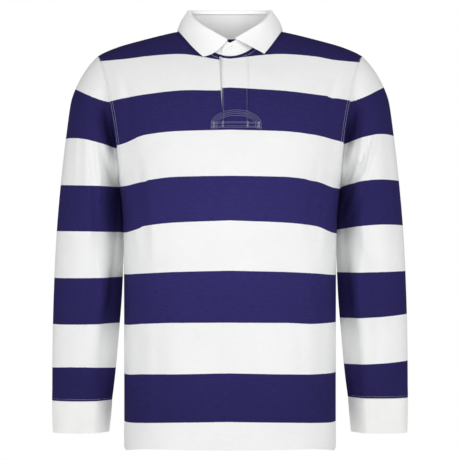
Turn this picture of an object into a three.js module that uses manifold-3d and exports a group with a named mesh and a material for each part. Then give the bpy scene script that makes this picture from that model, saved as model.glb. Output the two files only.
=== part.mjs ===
// A long-sleeved hooped rugby shirt, filled out as if worn, with an open hem, neck and cuffs.
// Millimetres, +Z up. The front faces -Y, and the wearer's left is +X.
// The origin is the middle of the neck, level with the shoulder seams' neck ends.
import * as THREE from "three";
import { mergeVertices } from "three/addons/utils/BufferGeometryUtils.js";
import Module from "manifold-3d";

const wasm = await Module();
wasm.setup();

// Cloth
const CLOTH = 2.0;
const STRIP_CLOTH = 1.5;
const SEAM_GAP = 0.5;
const LAY_GAP = 0.4;
const STRIP_TOP_GAP = 1.8;

// Heights of the body's landmarks
const HEM_Z = -730;
const VENT_TOP_Z = -688;
const ARMPIT_Z = -262;
const SHOULDER_POINT_Z = -47;
const NECK_POINT_Z = 0;
const NECK_FRONT_Z = -54;
const NECK_BACK_Z = -9;
const NECK_HALF_WIDTH = 73;

// Where the rows of the panels change from side seam to armhole to shoulder seam, at the
// middle of the panel
// and the height of the hem there. The front hem hangs a little short of the back one.
const FRONT_ROW_Z = { hem: -721, armpit: -250, shoulder: -112 };
const BACK_ROW_Z = { hem: -734, armpit: -256, shoulder: -84 };
const ROWS = { side: 12, armhole: 9, shoulder: 5 };

// Side vents and the rounded corners of the hem
const VENT_OPENING = 2.5;
const HEM_CORNER = 5;

// Armhole: how far its front and back are scooped in from the straight line
const ARMHOLE_SCOOP = { front: 11.5, back: 6 };

// Placket
const PLACKET_EDGE_X = -13;
const PLACKET_STITCH_X = 30.5;
const PLACKET_BOTTOM_Z = -176;
const SLIT_TOP_GAP = 5.5;
const UNDERLAP_X = { from: -34, to: 3 };
const MIDDLE_COLUMNS_X = [-36, -25, PLACKET_EDGE_X, 0, 12, 24, 36];
const OUTER_COLUMNS = 8;

// Horizontal sections of the body: half its width, its depth to the front and to the back,
// and how square it is
const BODY_SECTIONS = [
  { z: HEM_Z, halfWidth: 184.6, front: 118, back: 115, power: 2.6 },
  { z: -620, halfWidth: 184.6, front: 116, back: 108, power: 2.6 },
  { z: -500, halfWidth: 184.8, front: 116, back: 97, power: 2.6 },
  { z: -420, halfWidth: 185.0, front: 118, back: 93, power: 2.6 },
  { z: -340, halfWidth: 186.5, front: 121, back: 97, power: 2.55 },
  { z: -262, halfWidth: 194.5, front: 125, back: 104, power: 2.5 },
  { z: -200, halfWidth: 210, front: 123.5, back: 109, power: 2.4 },
  { z: -150, halfWidth: 226, front: 116, back: 109, power: 2.25 },
  { z: -110, halfWidth: 243, front: 105, back: 104, power: 2.1 },
  { z: -80, halfWidth: 249, front: 93, back: 96, power: 2 },
  { z: -62, halfWidth: 246, front: 82.5, back: 90, power: 2 },
  { z: -47, halfWidth: 232, front: 73.5, back: 84, power: 2 },
  { z: -31.5, halfWidth: 199, front: 62, back: 76.5, power: 2 },
  { z: -17.5, halfWidth: 150, front: 50, back: 69, power: 2 },
  { z: -5, halfWidth: 99, front: 36, back: 60, power: 2 },
  { z: 0, halfWidth: NECK_HALF_WIDTH, front: 30, back: 56.5, power: 2 },
  { z: 6, halfWidth: 52, front: 22, back: 50, power: 2 },
];

// The sleeve's rings from the armhole to the cuff: top line, underarm line, half the depth,
// how far it hangs forward
const SLEEVE_RINGS = [
  { at: 0, topX: 232, topZ: -47, underX: 194.5, underZ: -262, halfDepth: 56, forward: 0 },
  { at: 1, topX: 260.5, topZ: -77, underX: 195.4, underZ: -271, halfDepth: 60, forward: 0 },
  { at: 2, topX: 276, topZ: -118, underX: 193.4, underZ: -286, halfDepth: 63, forward: 1 },
  { at: 3, topX: 286, topZ: -185, underX: 190.4, underZ: -312, halfDepth: 63, forward: 2 },
  { at: 4, topX: 295.7, topZ: -273, underX: 188.2, underZ: -352, halfDepth: 60, forward: 5 },
  { at: 5, topX: 302.1, topZ: -353, underX: 188, underZ: -402, halfDepth: 54, forward: 9 },
  { at: 6, topX: 306, topZ: -437, underX: 189.5, underZ: -463, halfDepth: 46, forward: 14 },
  { at: 7, topX: 308, topZ: -520, underX: 194.5, underZ: -532, halfDepth: 37, forward: 19 },
  { at: 8, topX: 308.6, topZ: -595, underX: 200.3, underZ: -600, halfDepth: 29, forward: 23 },
  { at: 9, topX: 308.6, topZ: -640, underX: 205.3, underZ: -640, halfDepth: 23, forward: 25 },
];
const SLEEVE_ROWS = 21;
const ARMHOLE_BLEND = 2.2;
const CUFF = { topX: 307.3, underX: 210.5, bottomZ: -701, halfDepth: 21, forward: 26, rows: 3 };

// Folds of the body, as lines across the panel seen from the front: a positive rise is a
// ridge, a negative one a trough
const FRONT_FOLDS = [
  { fromX: -176, fromZ: -200, toX: -140, toZ: -420, width: 15, rise: -4 },
  { fromX: -152, fromZ: -255, toX: -118, toZ: -560, width: 20, rise: 2.5 },
  { fromX: 178, fromZ: -205, toX: 142, toZ: -390, width: 15, rise: -4 },
  { fromX: 160, fromZ: -270, toX: 120, toZ: -600, width: 22, rise: 2.5 },
  { fromX: -188, fromZ: -95, toX: -176, toZ: -215, width: 9, rise: -3 },
  { fromX: 190, fromZ: -95, toX: 178, toZ: -215, width: 9, rise: -3 },
];
const BACK_FOLDS = [
  { fromX: -176, fromZ: -190, toX: -120, toZ: -430, width: 17, rise: -5 },
  { fromX: 176, fromZ: -200, toX: 126, toZ: -410, width: 17, rise: -5 },
  { fromX: -70, fromZ: -300, toX: -52, toZ: -640, width: 24, rise: 4 },
  { fromX: 78, fromZ: -280, toX: 60, toZ: -620, width: 24, rise: 4 },
  { fromX: 0, fromZ: -330, toX: 6, toZ: -560, width: 22, rise: -4 },
];

// Folds of the sleeves: where they start and end round the ring (0 at the top line, 90 at the
// front, in degrees)
// and along it (in the numbers of SLEEVE_RINGS)
const LEFT_SLEEVE_FOLDS = [
  { fromTurn: 132, fromAt: 1.4, toTurn: 62, toAt: 2.2, width: 11, rise: -6 },
  { fromTurn: 138, fromAt: 2.2, toTurn: 58, toAt: 3.6, width: 13, rise: -6 },
  { fromTurn: 140, fromAt: 3.4, toTurn: 78, toAt: 4.9, width: 15, rise: -5 },
  { fromTurn: 128, fromAt: 5.6, toTurn: 108, toAt: 8.6, width: 17, rise: -4 },
  { fromTurn: 228, fromAt: 1.8, toTurn: 300, toAt: 3.2, width: 14, rise: -5 },
  { fromTurn: 222, fromAt: 3.6, toTurn: 282, toAt: 5.2, width: 16, rise: -4 },
];
const RIGHT_SLEEVE_FOLDS = [
  { fromTurn: 134, fromAt: 1.5, toTurn: 74, toAt: 2.1, width: 11, rise: -5 },
  { fromTurn: 136, fromAt: 3.0, toTurn: 84, toAt: 4.8, width: 15, rise: -5 },
  { fromTurn: 128, fromAt: 5.2, toTurn: 100, toAt: 8.7, width: 18, rise: -5 },
  { fromTurn: 226, fromAt: 1.7, toTurn: 292, toAt: 3.0, width: 14, rise: -5 },
  { fromTurn: 224, fromAt: 3.9, toTurn: 276, toAt: 5.6, width: 16, rise: -4 },
];

// Collar: turn is the angle round the neck from the middle of the front, towards +X
const STAND = {
  fromTurn: -10.5,
  toTurn: 370,
  topHalfWidth: 68,
  topFront: 72,
  topBack: 41,
  topFrontZ: -30.5,
  topSideZ: 29,
  topBackZ: 33.5,
  lap: 1.6,
  lapTurn: 34,
  roundTurn: 13,
  endHeight: 0.3,
  columns: 40,
  rows: 3,
};
const LEAF = {
  fromTurn: 8,
  toTurn: 356,
  roll: 4.2,
  frontRoll: 2.9,
  sideReach: 91,
  backReach: 62,
  lift: 3.4,
  columns: 36,
  fallRows: 5,
  bulge: 2.5,
};
// The two points of the collar: how far they swing forward of their fold, how far out they
// reach, how much the edge sags
const LEAF_POINTS = {
  left: { swing: 29.5, reach: 96.5, sag: 0 },
  right: { swing: 25.6, reach: 92.5, sag: 6 },
};

const BUTTON = {
  turn: 3.2,
  heightShare: 0.6,
  radius: 5.75,
  thickness: 2.6,
  holeRadius: 0.8,
  holeOffset: 1.5,
  sides: 24,
};

const cotton = (color) => new THREE.MeshStandardMaterial({ color, roughness: 0.9, metalness: 0 });
const hoopedJersey = cotton(0x332d63);
const whiteJersey = cotton(0xeeeeec);
const whiteTwill = cotton(0xf1f1ef);
const buttonRubber = new THREE.MeshStandardMaterial({ color: 0xf2f1ec, roughness: 0.45, metalness: 0 });

const degrees = (value) => (value * Math.PI) / 180;
const mix = (from, to, share) => from + (to - from) * share;
const clamp01 = (value) => Math.min(Math.max(value, 0), 1);
const smooth = (share) => clamp01(share) ** 2 * (3 - 2 * clamp01(share));

// Slope of a column at a row, flat where the column turns, so that the curve never overshoots
// its rows.
function slopeAt(table, key, column, i) {
  const step = (j) => (table[j + 1][column] - table[j][column]) / (table[j + 1][key] - table[j][key]);
  if (i === 0) return step(0);
  if (i === table.length - 1) return step(i - 1);
  const before = step(i - 1);
  const after = step(i);
  return before * after <= 0 ? 0 : (2 * before * after) / (before + after);
}

// Smooth value of a table's column between its rows. The key column rises from row to row.
function valueAt(table, key, column, at) {
  const last = table.length - 1;
  const place = Math.min(Math.max(at, table[0][key]), table[last][key]);
  let i = 0;
  while (i < last - 1 && table[i + 1][key] < place) i += 1;
  const span = table[i + 1][key] - table[i][key];
  const t = (place - table[i][key]) / span;
  const [a, b] = [table[i][column], table[i + 1][column]];
  const [ma, mb] = [slopeAt(table, key, column, i) * span, slopeAt(table, key, column, i + 1) * span];
  const fromStart = a * (1 + 2 * t) * (1 - t) ** 2 + ma * t * (1 - t) ** 2;
  const fromEnd = b * t * t * (3 - 2 * t) + mb * t * t * (t - 1);
  return fromStart + fromEnd;
}

const body = (column, z) => valueAt(BODY_SECTIONS, "z", column, z);

// How far the body's surface lies in front of (side -1) or behind (side 1) the side seams, at
// x and z.
function bodyY(x, z, side) {
  const power = body("power", z);
  const share = Math.min(Math.abs(x) / body("halfWidth", z), 1);
  return side * body(side < 0 ? "front" : "back", z) * (1 - share ** power) ** (1 / power);
}

// Height at which the body's surface lies at a reach from the neck's axis, in the direction
// of a turn.
function bodyZ(turn, reach) {
  const [across, ahead] = [Math.abs(Math.sin(turn)), Math.cos(turn)];
  const depth = ahead > 0 ? "front" : "back";
  const radius = (z) => {
    const power = body("power", z);
    const sum = (across / body("halfWidth", z)) ** power + (Math.abs(ahead) / body(depth, z)) ** power;
    return sum ** (-1 / power);
  };
  let [low, high] = [-150, 6];
  for (let i = 0; i < 40; i += 1) {
    const middle = (low + high) / 2;
    if (radius(middle) > reach) low = middle;
    else high = middle;
  }
  return low;
}

// Rise of all folds of a list at a point, given as two coordinates named in each fold.
function foldRise(folds, [nameA, nameB], a, b, scaleA = 1, scaleB = 1) {
  return folds.reduce((sum, fold) => {
    const [fromA, fromB] = [fold["from" + nameA] * scaleA, fold["from" + nameB] * scaleB];
    const [spanA, spanB] = [fold["to" + nameA] * scaleA - fromA, fold["to" + nameB] * scaleB - fromB];
    const [offA, offB] = [a * scaleA - fromA, b * scaleB - fromB];
    const share = (offA * spanA + offB * spanB) / (spanA ** 2 + spanB ** 2);
    const away = Math.hypot(offA - clamp01(share) * spanA, offB - clamp01(share) * spanB);
    const ends = Math.sin(Math.PI * clamp01(mix(0.12, 0.88, clamp01(share))));
    return sum + fold.rise * Math.exp(-((away / fold.width) ** 2)) * ends;
  }, 0);
}

// Closed wall of cloth from the points of its outer side. trim may change the step from an
// outer to an inner point.
function clothWall({ points, faces, trim }, thickness) {
  const count = points.length;
  const steps = points.map(() => new THREE.Vector3());
  for (const [a, b, c, d] of faces) {
    const across = points[c].clone().sub(points[a]).cross(points[d].clone().sub(points[b]));
    for (const i of [a, b, c, d]) steps[i].sub(across);
  }
  const inner = points.map((point, i) => {
    const step = steps[i].normalize();
    if (trim) trim(i, step);
    return point.clone().add(step.normalize().multiplyScalar(thickness));
  });
  const triangles = [];
  const edges = new Map();
  for (const face of faces) {
    const [a, b, c, d] = face;
    const short = points[a].distanceTo(points[c]) <= points[b].distanceTo(points[d]);
    const halves = short ? [[a, b, c], [a, c, d]] : [[a, b, d], [b, c, d]];
    for (const [p, q, r] of halves) triangles.push([p, q, r], [p + count, r + count, q + count]);
    face.forEach((from, i) => {
      const to = face[(i + 1) % 4];
      if (!edges.delete(to + "," + from)) edges.set(from + "," + to, [from, to]);
    });
  }
  for (const [from, to] of edges.values()) {
    triangles.push([to, from, from + count], [to, from + count, to + count]);
  }
  const geometry = new THREE.BufferGeometry().setFromPoints([...points, ...inner]);
  return geometry.setIndex(triangles.flat());
}

// Grid of points place(row, column), with its faces. A closed grid joins its last column to
// its first.
function clothGrid(rows, columns, place, { closed = false, flip = false } = {}) {
  const points = [];
  const faces = [];
  const wide = closed ? columns : columns + 1;
  for (let i = 0; i <= rows; i += 1) for (let j = 0; j < wide; j += 1) points.push(place(i, j));
  for (let i = 0; i < rows; i += 1) {
    for (let j = 0; j < columns; j += 1) {
      const next = (j + 1) % wide;
      const face = [i * wide + j, i * wide + next, (i + 1) * wide + next, (i + 1) * wide + j];
      faces.push(flip ? face.reverse() : face);
    }
  }
  return { points, faces, wide };
}

// A point of the armhole's front or back half. around runs from 0 at the armpit to pi at the
// shoulder point.
function armholePoint(around, side) {
  const share = (1 - Math.cos(around)) / 2;
  const z = mix(ARMPIT_Z, SHOULDER_POINT_Z, share);
  const straight = mix(body("halfWidth", ARMPIT_Z), body("halfWidth", SHOULDER_POINT_Z), share);
  const scoop = side < 0 ? ARMHOLE_SCOOP.front : ARMHOLE_SCOOP.back;
  const x = straight - scoop * Math.sin(around);
  return new THREE.Vector3(x, around <= 0 || around >= Math.PI ? 0 : bodyY(x, z, side), z);
}

// Points spaced evenly along half of the armhole, from the armpit to the shoulder point.
function armholeHalf(side) {
  const samples = 240;
  const fine = Array.from({ length: samples + 1 }, (_, i) => armholePoint((Math.PI * i) / samples, side));
  const lengths = [0];
  for (let i = 1; i <= samples; i += 1) lengths.push(lengths[i - 1] + fine[i].distanceTo(fine[i - 1]));
  return Array.from({ length: ROWS.armhole + 1 }, (_, row) => {
    const target = (lengths[samples] * row) / ROWS.armhole;
    const i = Math.max(1, lengths.findIndex((length) => length >= target - 1e-9));
    return fine[i - 1].clone().lerp(fine[i], (target - lengths[i - 1]) / (lengths[i] - lengths[i - 1]));
  });
}

const ARMHOLES = { front: armholeHalf(-1), back: armholeHalf(1) };

// The rows of a body panel: where each meets the panel's edge, its height at the middle, and
// how it bows between.
function panelRows(side) {
  const middle = side < 0 ? FRONT_ROW_Z : BACK_ROW_Z;
  const neckZ = side < 0 ? NECK_FRONT_Z : NECK_BACK_Z;
  const seam = side * (SEAM_GAP / 2);
  const rows = [];
  const sideHeights = [HEM_Z, HEM_Z + HEM_CORNER, VENT_TOP_Z - 1];
  for (let i = 0; i < ROWS.side - 2; i += 1) {
    sideHeights.push(mix(VENT_TOP_Z, ARMPIT_Z, i / (ROWS.side - 2)));
  }
  for (const z of sideHeights) {
    const share = (z - HEM_Z) / (ARMPIT_Z - HEM_Z);
    const x = body("halfWidth", z) - (z === HEM_Z ? HEM_CORNER : 0);
    const y = z < VENT_TOP_Z ? side * VENT_OPENING : seam;
    const middleZ = mix(middle.hem, middle.armpit, share);
    rows.push({ edge: new THREE.Vector3(x, y, z), middleZ, bow: mix(8, 4, share), seam: true });
  }
  ARMHOLES[side < 0 ? "front" : "back"].forEach((edge, i) => {
    const share = i / ROWS.armhole;
    const onSeam = i === 0 || i === ROWS.armhole;
    const middleZ = mix(middle.armpit, middle.shoulder, share);
    const place = onSeam ? new THREE.Vector3(edge.x, seam, edge.z) : edge;
    rows.push({ edge: place, middleZ, bow: mix(4, 2.6, share), seam: onSeam });
  });
  for (let i = 1; i <= ROWS.shoulder; i += 1) {
    const share = i / ROWS.shoulder;
    const z = mix(SHOULDER_POINT_Z, NECK_POINT_Z, share ** 0.8);
    const middleZ = mix(middle.shoulder, neckZ, share);
    const edge = new THREE.Vector3(body("halfWidth", z), seam, z);
    rows.push({ edge, middleZ, bow: mix(2.6, 2, share), seam: true });
  }
  return rows;
}

// A point of a body panel on a row, at x if it is a middle column, or a share of the way from
// there to the edge.
function panelPoint(row, side, x, outShare = 0) {
  if (outShare === 1) return row.edge.clone().setX(Math.sign(x) * row.edge.x);
  const [halfWidth, power] = [body("halfWidth", row.edge.z), body("power", row.edge.z)];
  const angle = (width) => Math.asin(Math.min(width / halfWidth, 1) ** (power / 2));
  const middleAngle = angle(Math.abs(x));
  const out = mix(middleAngle, Math.max(angle(row.edge.x), middleAngle), outShare);
  const width = outShare ? halfWidth * Math.sin(out) ** (2 / power) : Math.abs(x);
  const z = mix(row.middleZ, row.edge.z, Math.min(width / row.edge.x, 1) ** row.bow);
  const placed = Math.sign(x) * width;
  const folds = side < 0 ? FRONT_FOLDS : BACK_FOLDS;
  const nearEdge = smooth((1 - outShare) * 3);
  const y = bodyY(placed, z, side) + side * foldRise(folds, ["X", "Z"], placed, z) * nearEdge;
  return new THREE.Vector3(placed, y, z);
}

// The columns of a body panel from the wearer's right to left: outer ones, the middle ones,
// and outer ones again.
function panelColumns(middleX) {
  const outer = Array.from({ length: OUTER_COLUMNS }, (_, i) => (i + 1) / OUTER_COLUMNS);
  return [
    ...outer.map((share) => [middleX[0], share]).reverse(),
    ...middleX.map((x) => [x, 0]),
    ...outer.map((share) => [middleX[middleX.length - 1], share]),
  ];
}

// On a seam between front and back, a panel's inner points stay on their own side.
function trimSeams(grid, rows) {
  return (i, step) => {
    const [row, column] = [Math.floor(i / grid.wide), i % grid.wide];
    const onEdge = column === 0 || column === grid.wide - 1;
    if (i < rows.length * grid.wide && rows[row].seam && onEdge) {
      step.y = 0;
    }
  };
}

function backPanel() {
  const rows = panelRows(1);
  const columns = panelColumns([-36, 0, 36]);
  const place = (i, j) => panelPoint(rows[i], 1, ...columns[j]);
  const grid = clothGrid(rows.length - 1, columns.length - 1, place, { flip: true });
  return clothWall({ ...grid, trim: trimSeams(grid, rows) }, CLOTH);
}

// Half-width of the placket slit at a height: open at the neck, closed at its foot.
const slitRow = ROWS.side + 1 + 7;
const slitShare = (rows, i) => (i - slitRow) / (rows.length - 1 - slitRow);

function frontPanel() {
  const rows = panelRows(-1);
  const columns = panelColumns(MIDDLE_COLUMNS_X);
  const slitColumn = columns.findIndex(([x, out]) => x === PLACKET_EDGE_X && out === 0);
  const place = (i, j) => panelPoint(rows[i], -1, ...columns[j]);
  const grid = clothGrid(rows.length - 1, columns.length - 1, place);
  const { points, faces, wide } = grid;
  // Above the slit's foot the slit's column is doubled, and each copy steps back from the slit.
  for (let i = slitRow + 1; i < rows.length; i += 1) {
    const old = i * wide + slitColumn;
    const share = slitShare(rows, i);
    points.push(panelPoint(rows[i], -1, PLACKET_EDGE_X + 1.5));
    points[old] = panelPoint(rows[i], -1, PLACKET_EDGE_X - 0.4 - SLIT_TOP_GAP * share);
    const right = points.length - 1;
    for (const face of faces) {
      const rightSide = face.some((k) => k < rows.length * wide && k % wide === slitColumn + 1);
      if (rightSide) face.forEach((k, at) => (face[at] = k === old ? right : k));
    }
  }
  return clothWall({ points, faces, trim: trimSeams(grid, rows) }, CLOTH);
}

// A strip that lies on the front panel from the neckline down, between two x, a distance out
// from the panel.
function placketStrip(fromX, toX, bottomZ, out, thickness, columns, rows) {
  const place = (i, j) => {
    const x = mix(fromX, toX, j / columns);
    const topZ = neckline(Math.asin(x / NECK_HALF_WIDTH)).z - STRIP_TOP_GAP;
    const z = mix(bottomZ, topZ, i / rows);
    const step = 1;
    const slope = (bodyY(x, z + step, -1) - bodyY(x, z - step, -1)) / (2 * step);
    const normal = new THREE.Vector3(0, -1, slope).normalize();
    return new THREE.Vector3(x, bodyY(x, z, -1), z).addScaledVector(normal, out);
  };
  return clothWall(clothGrid(rows, columns, place), thickness);
}

// A point of the neckline, at a turn round the neck from the middle of the front.
function neckline(turn) {
  const side = Math.cos(turn) > 0 ? -1 : 1;
  const x = NECK_HALF_WIDTH * Math.sin(turn);
  const z = mix(NECK_POINT_Z, side < 0 ? NECK_FRONT_Z : NECK_BACK_Z, Math.cos(turn) ** 2);
  return new THREE.Vector3(x, bodyY(x, z, side), z);
}

// The neck band's top edge at a turn.
function standTop(turn) {
  const ahead = Math.cos(turn);
  const fromFront = Math.abs(Math.atan2(Math.sin(turn), ahead)) / (Math.PI / 2);
  const z = ahead > 0
    ? mix(STAND.topFrontZ, STAND.topSideZ, fromFront)
    : mix(STAND.topSideZ, STAND.topBackZ, -ahead);
  const depth = ahead > 0 ? STAND.topFront : STAND.topBack;
  return new THREE.Vector3(STAND.topHalfWidth * Math.sin(turn), -depth * ahead, z);
}

// Level direction away from the neck's axis at a turn.
function outwards(turn) {
  const depth = Math.cos(turn) > 0 ? STAND.topFront : STAND.topBack;
  return new THREE.Vector3(Math.sin(turn) / STAND.topHalfWidth, -Math.cos(turn) / depth, 0).normalize();
}

// How far the neck band's two laps step out and in where they cross at the front.
// degreesRound is not wrapped.
function lapStep(degreesRound) {
  const over = smooth(1 - (degreesRound - STAND.fromTurn) / STAND.lapTurn);
  const under = smooth(1 - (STAND.toTurn - degreesRound) / STAND.lapTurn);
  return STAND.lap * (over - under);
}

function collarStand() {
  const place = (i, j) => {
    const degreesRound = mix(STAND.fromTurn, STAND.toTurn, j / STAND.columns);
    const turn = degrees(degreesRound);
    const toEnd = clamp01((degreesRound - STAND.fromTurn) / STAND.roundTurn);
    const height = mix(STAND.endHeight, 1, Math.sqrt(1 - (1 - toEnd) ** 2));
    const foot = neckline(turn).add(new THREE.Vector3(0, 0, SEAM_GAP));
    const point = foot.lerp(standTop(turn), (height * i) / STAND.rows);
    return point.addScaledVector(outwards(turn), lapStep(degreesRound));
  };
  // The foot is level, so that it stays clear of the panels that it stands on.
  const trim = (i, step) => {
    if (i <= STAND.columns) step.z = Math.max(step.z, 0);
  };
  return clothWall({ ...clothGrid(STAND.rows, STAND.columns, place), trim }, CLOTH);
}

// The collar's point nearer to a place along it, and how strongly it acts there: 1 at the
// point, 0 from the side on.
function leafPoint(degreesRound) {
  const onLeft = degreesRound < 180;
  const awayLeft = (degreesRound - LEAF.fromTurn) / (90 - LEAF.fromTurn);
  const awayRight = (LEAF.toTurn - degreesRound) / (LEAF.toTurn - 270);
  const point = onLeft ? LEAF_POINTS.left : LEAF_POINTS.right;
  return { ...point, sign: onLeft ? 1 : -1, pull: clamp01(1 - (onLeft ? awayLeft : awayRight)) };
}

// The edge of the collar's leaf, lying just above the body.
function leafEdge(degreesRound) {
  const point = leafPoint(degreesRound);
  const turn = degrees(degreesRound + point.sign * point.swing * point.pull ** 1.5);
  const ahead = Math.cos(turn);
  const oval = 1 / Math.hypot(Math.sin(turn) / LEAF.sideReach, ahead / LEAF.backReach);
  const reach = ahead > 0 ? mix(LEAF.sideReach, point.reach, (ahead / Math.cos(degrees(34))) ** 2) : oval;
  const z = bodyZ(turn, reach - LEAF.lift) + 1;
  return new THREE.Vector3(reach * Math.sin(turn), -reach * ahead, z);
}

// A point of the leaf's outer side: up from the band, over the roll in four steps, then down
// the fall to the edge.
function leafPlace(row, degreesRound) {
  const turn = degrees(degreesRound);
  const out = outwards(turn);
  const { pull, sag } = leafPoint(degreesRound);
  const roll = mix(LEAF.roll, LEAF.frontRoll, smooth(pull * 1.6 - 0.6));
  const base = standTop(turn).addScaledVector(out, lapStep(degreesRound) - CLOTH);
  const rise = SEAM_GAP + 0.3;
  const rollRows = 4;
  if (row <= rollRows + 1) {
    const angle = row === 0 ? 0 : (Math.PI * (row - 1)) / rollRows;
    const up = row === 0 ? rise : rise + 0.8 + roll * Math.sin(angle);
    return base.addScaledVector(out, roll * (1 - Math.cos(angle))).add(new THREE.Vector3(0, 0, up));
  }
  const start = leafPlace(rollRows + 1, degreesRound);
  const share = (row - rollRows - 1) / LEAF.fallRows;
  const drop = new THREE.Vector3(0, 0, -sag * pull ** 4 * Math.sin(Math.PI * share));
  const crown = Math.sin(Math.PI * share) * LEAF.bulge;
  return start.lerp(leafEdge(degreesRound), share).addScaledVector(out, crown).add(drop);
}

function collarLeaf() {
  const place = (i, j) => leafPlace(i, mix(LEAF.fromTurn, LEAF.toTurn, j / LEAF.columns));
  return clothWall(clothGrid(5 + LEAF.fallRows, LEAF.columns, place), CLOTH);
}

// Ring of the sleeve as a level-fronted oval between its top and underarm lines, point by
// point round it.
function sleeveOval(at, turn, fold) {
  const ring = (column) => valueAt(SLEEVE_RINGS, "at", column, at);
  const top = new THREE.Vector3(ring("topX"), -ring("forward"), ring("topZ"));
  const under = new THREE.Vector3(ring("underX"), -ring("forward"), ring("underZ"));
  const centre = top.clone().add(under).multiplyScalar(0.5);
  const long = top.sub(centre);
  const grow = 1 + fold / long.length();
  const flatten = 1 + fold / ring("halfDepth");
  return centre
    .addScaledVector(long, Math.cos(turn) * grow)
    .add(new THREE.Vector3(0, -Math.sin(turn) * ring("halfDepth") * flatten, 0));
}

const SLEEVE_COLUMNS = 2 * ROWS.armhole;

// The armhole's points in order round it, from the shoulder point over the front to the
// armpit and up the back.
const ARMHOLE_LOOP = [...[...ARMHOLES.front].reverse(), ...ARMHOLES.back.slice(1, -1)];

function sleevePoint(at, column, folds, side) {
  const turn = (2 * Math.PI * column) / SLEEVE_COLUMNS;
  const turnDegrees = (360 * column) / SLEEVE_COLUMNS;
  const rise = at === 0 ? 0 : foldRise(folds, ["Turn", "At"], turnDegrees, at, 1, 40);
  const oval = sleeveOval(at, turn, rise);
  const seam = ARMHOLE_LOOP[column].clone().add(new THREE.Vector3(SEAM_GAP, 0, 0));
  const point = seam.lerp(oval, smooth(at / ARMHOLE_BLEND));
  return point.setX(side * point.x);
}

function sleeve(side, folds) {
  const last = SLEEVE_RINGS.length - 1;
  const place = (i, j) => sleevePoint((last * i) / SLEEVE_ROWS, j, folds, side);
  const grid = clothGrid(SLEEVE_ROWS, SLEEVE_COLUMNS, place, { closed: true, flip: side < 0 });
  // At the armhole the sleeve's inner points stay outside the body panels.
  const trim = (i, step) => {
    if (i < SLEEVE_COLUMNS && step.x * side < 0) step.x = 0;
  };
  return clothWall({ ...grid, trim }, CLOTH);
}

function cuff(side) {
  const last = SLEEVE_RINGS[SLEEVE_RINGS.length - 1];
  const rings = [{ ...last, at: 0 }, { ...last, ...CUFF, topZ: CUFF.bottomZ, underZ: CUFF.bottomZ, at: 1 }];
  const place = (i, j) => {
    const share = i / CUFF.rows;
    const turn = (2 * Math.PI * j) / SLEEVE_COLUMNS;
    const ring = (column) => mix(rings[0][column], rings[1][column], share);
    const centreX = (ring("topX") + ring("underX")) / 2;
    const halfWidth = (ring("topX") - ring("underX")) / 2;
    const z = mix(last.topZ - SEAM_GAP, CUFF.bottomZ, share);
    return new THREE.Vector3(
      side * (centreX + halfWidth * Math.cos(turn)),
      -ring("forward") - ring("halfDepth") * Math.sin(turn),
      z,
    );
  };
  return clothWall(clothGrid(CUFF.rows, SLEEVE_COLUMNS, place, { closed: true, flip: side < 0 }), CLOTH);
}

// A geometry as a solid that can be cut: its shared points are merged first.
function solidOf(geometry) {
  const bare = geometry.clone();
  bare.deleteAttribute("normal");
  bare.deleteAttribute("uv");
  const merged = mergeVertices(bare, 1e-4);
  return new wasm.Manifold(
    new wasm.Mesh({
      numProp: 3,
      vertProperties: merged.attributes.position.array,
      triVerts: new Uint32Array(merged.index.array),
    }),
  );
}

// Round button with a raised rim and four sewing holes, facing out from the neck band.
function buttonMesh() {
  const { radius, thickness, holeRadius, holeOffset, sides } = BUTTON;
  const profile = [
    [0, 0],
    [radius * 0.86, 0],
    [radius, thickness * 0.35],
    [radius, thickness * 0.75],
    [radius * 0.88, thickness],
    [radius * 0.66, thickness * 0.72],
    [0, thickness * 0.72],
  ].map(([across, up]) => new THREE.Vector2(across, up));
  let disc = solidOf(new THREE.LatheGeometry(profile, sides));
  for (const [x, z] of [[1, 1], [-1, 1], [-1, -1], [1, -1]]) {
    const hole = new THREE.CylinderGeometry(holeRadius, holeRadius, 3 * thickness, 8);
    hole.translate(x * holeOffset, 0, z * holeOffset);
    disc = disc.subtract(solidOf(hole));
  }
  const cut = disc.getMesh();
  const geometry = new THREE.BufferGeometry();
  geometry.setAttribute("position", new THREE.BufferAttribute(new Float32Array(cut.vertProperties), 3));
  geometry.setIndex(new THREE.BufferAttribute(new Uint32Array(cut.triVerts), 1));
  const turn = degrees(BUTTON.turn);
  const foot = neckline(turn);
  const top = standTop(turn);
  const along = top.clone().sub(foot).normalize();
  const acrossBand = new THREE.Vector3(1, 0, 0);
  const facing = acrossBand.clone().cross(along).normalize();
  const lift = lapStep(BUTTON.turn) + LAY_GAP + 0.2;
  const mesh = new THREE.Mesh(geometry, buttonRubber);
  mesh.position.copy(foot.lerp(top, BUTTON.heightShare)).addScaledVector(facing, lift);
  mesh.quaternion.setFromUnitVectors(new THREE.Vector3(0, 1, 0), facing);
  mesh.name = "collar_button";
  return mesh;
}

const shirt = new THREE.Group();
shirt.name = "rugby_shirt";

function addPiece(name, geometry, material) {
  const mesh = new THREE.Mesh(geometry, material);
  mesh.name = name;
  shirt.add(mesh);
}

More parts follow.
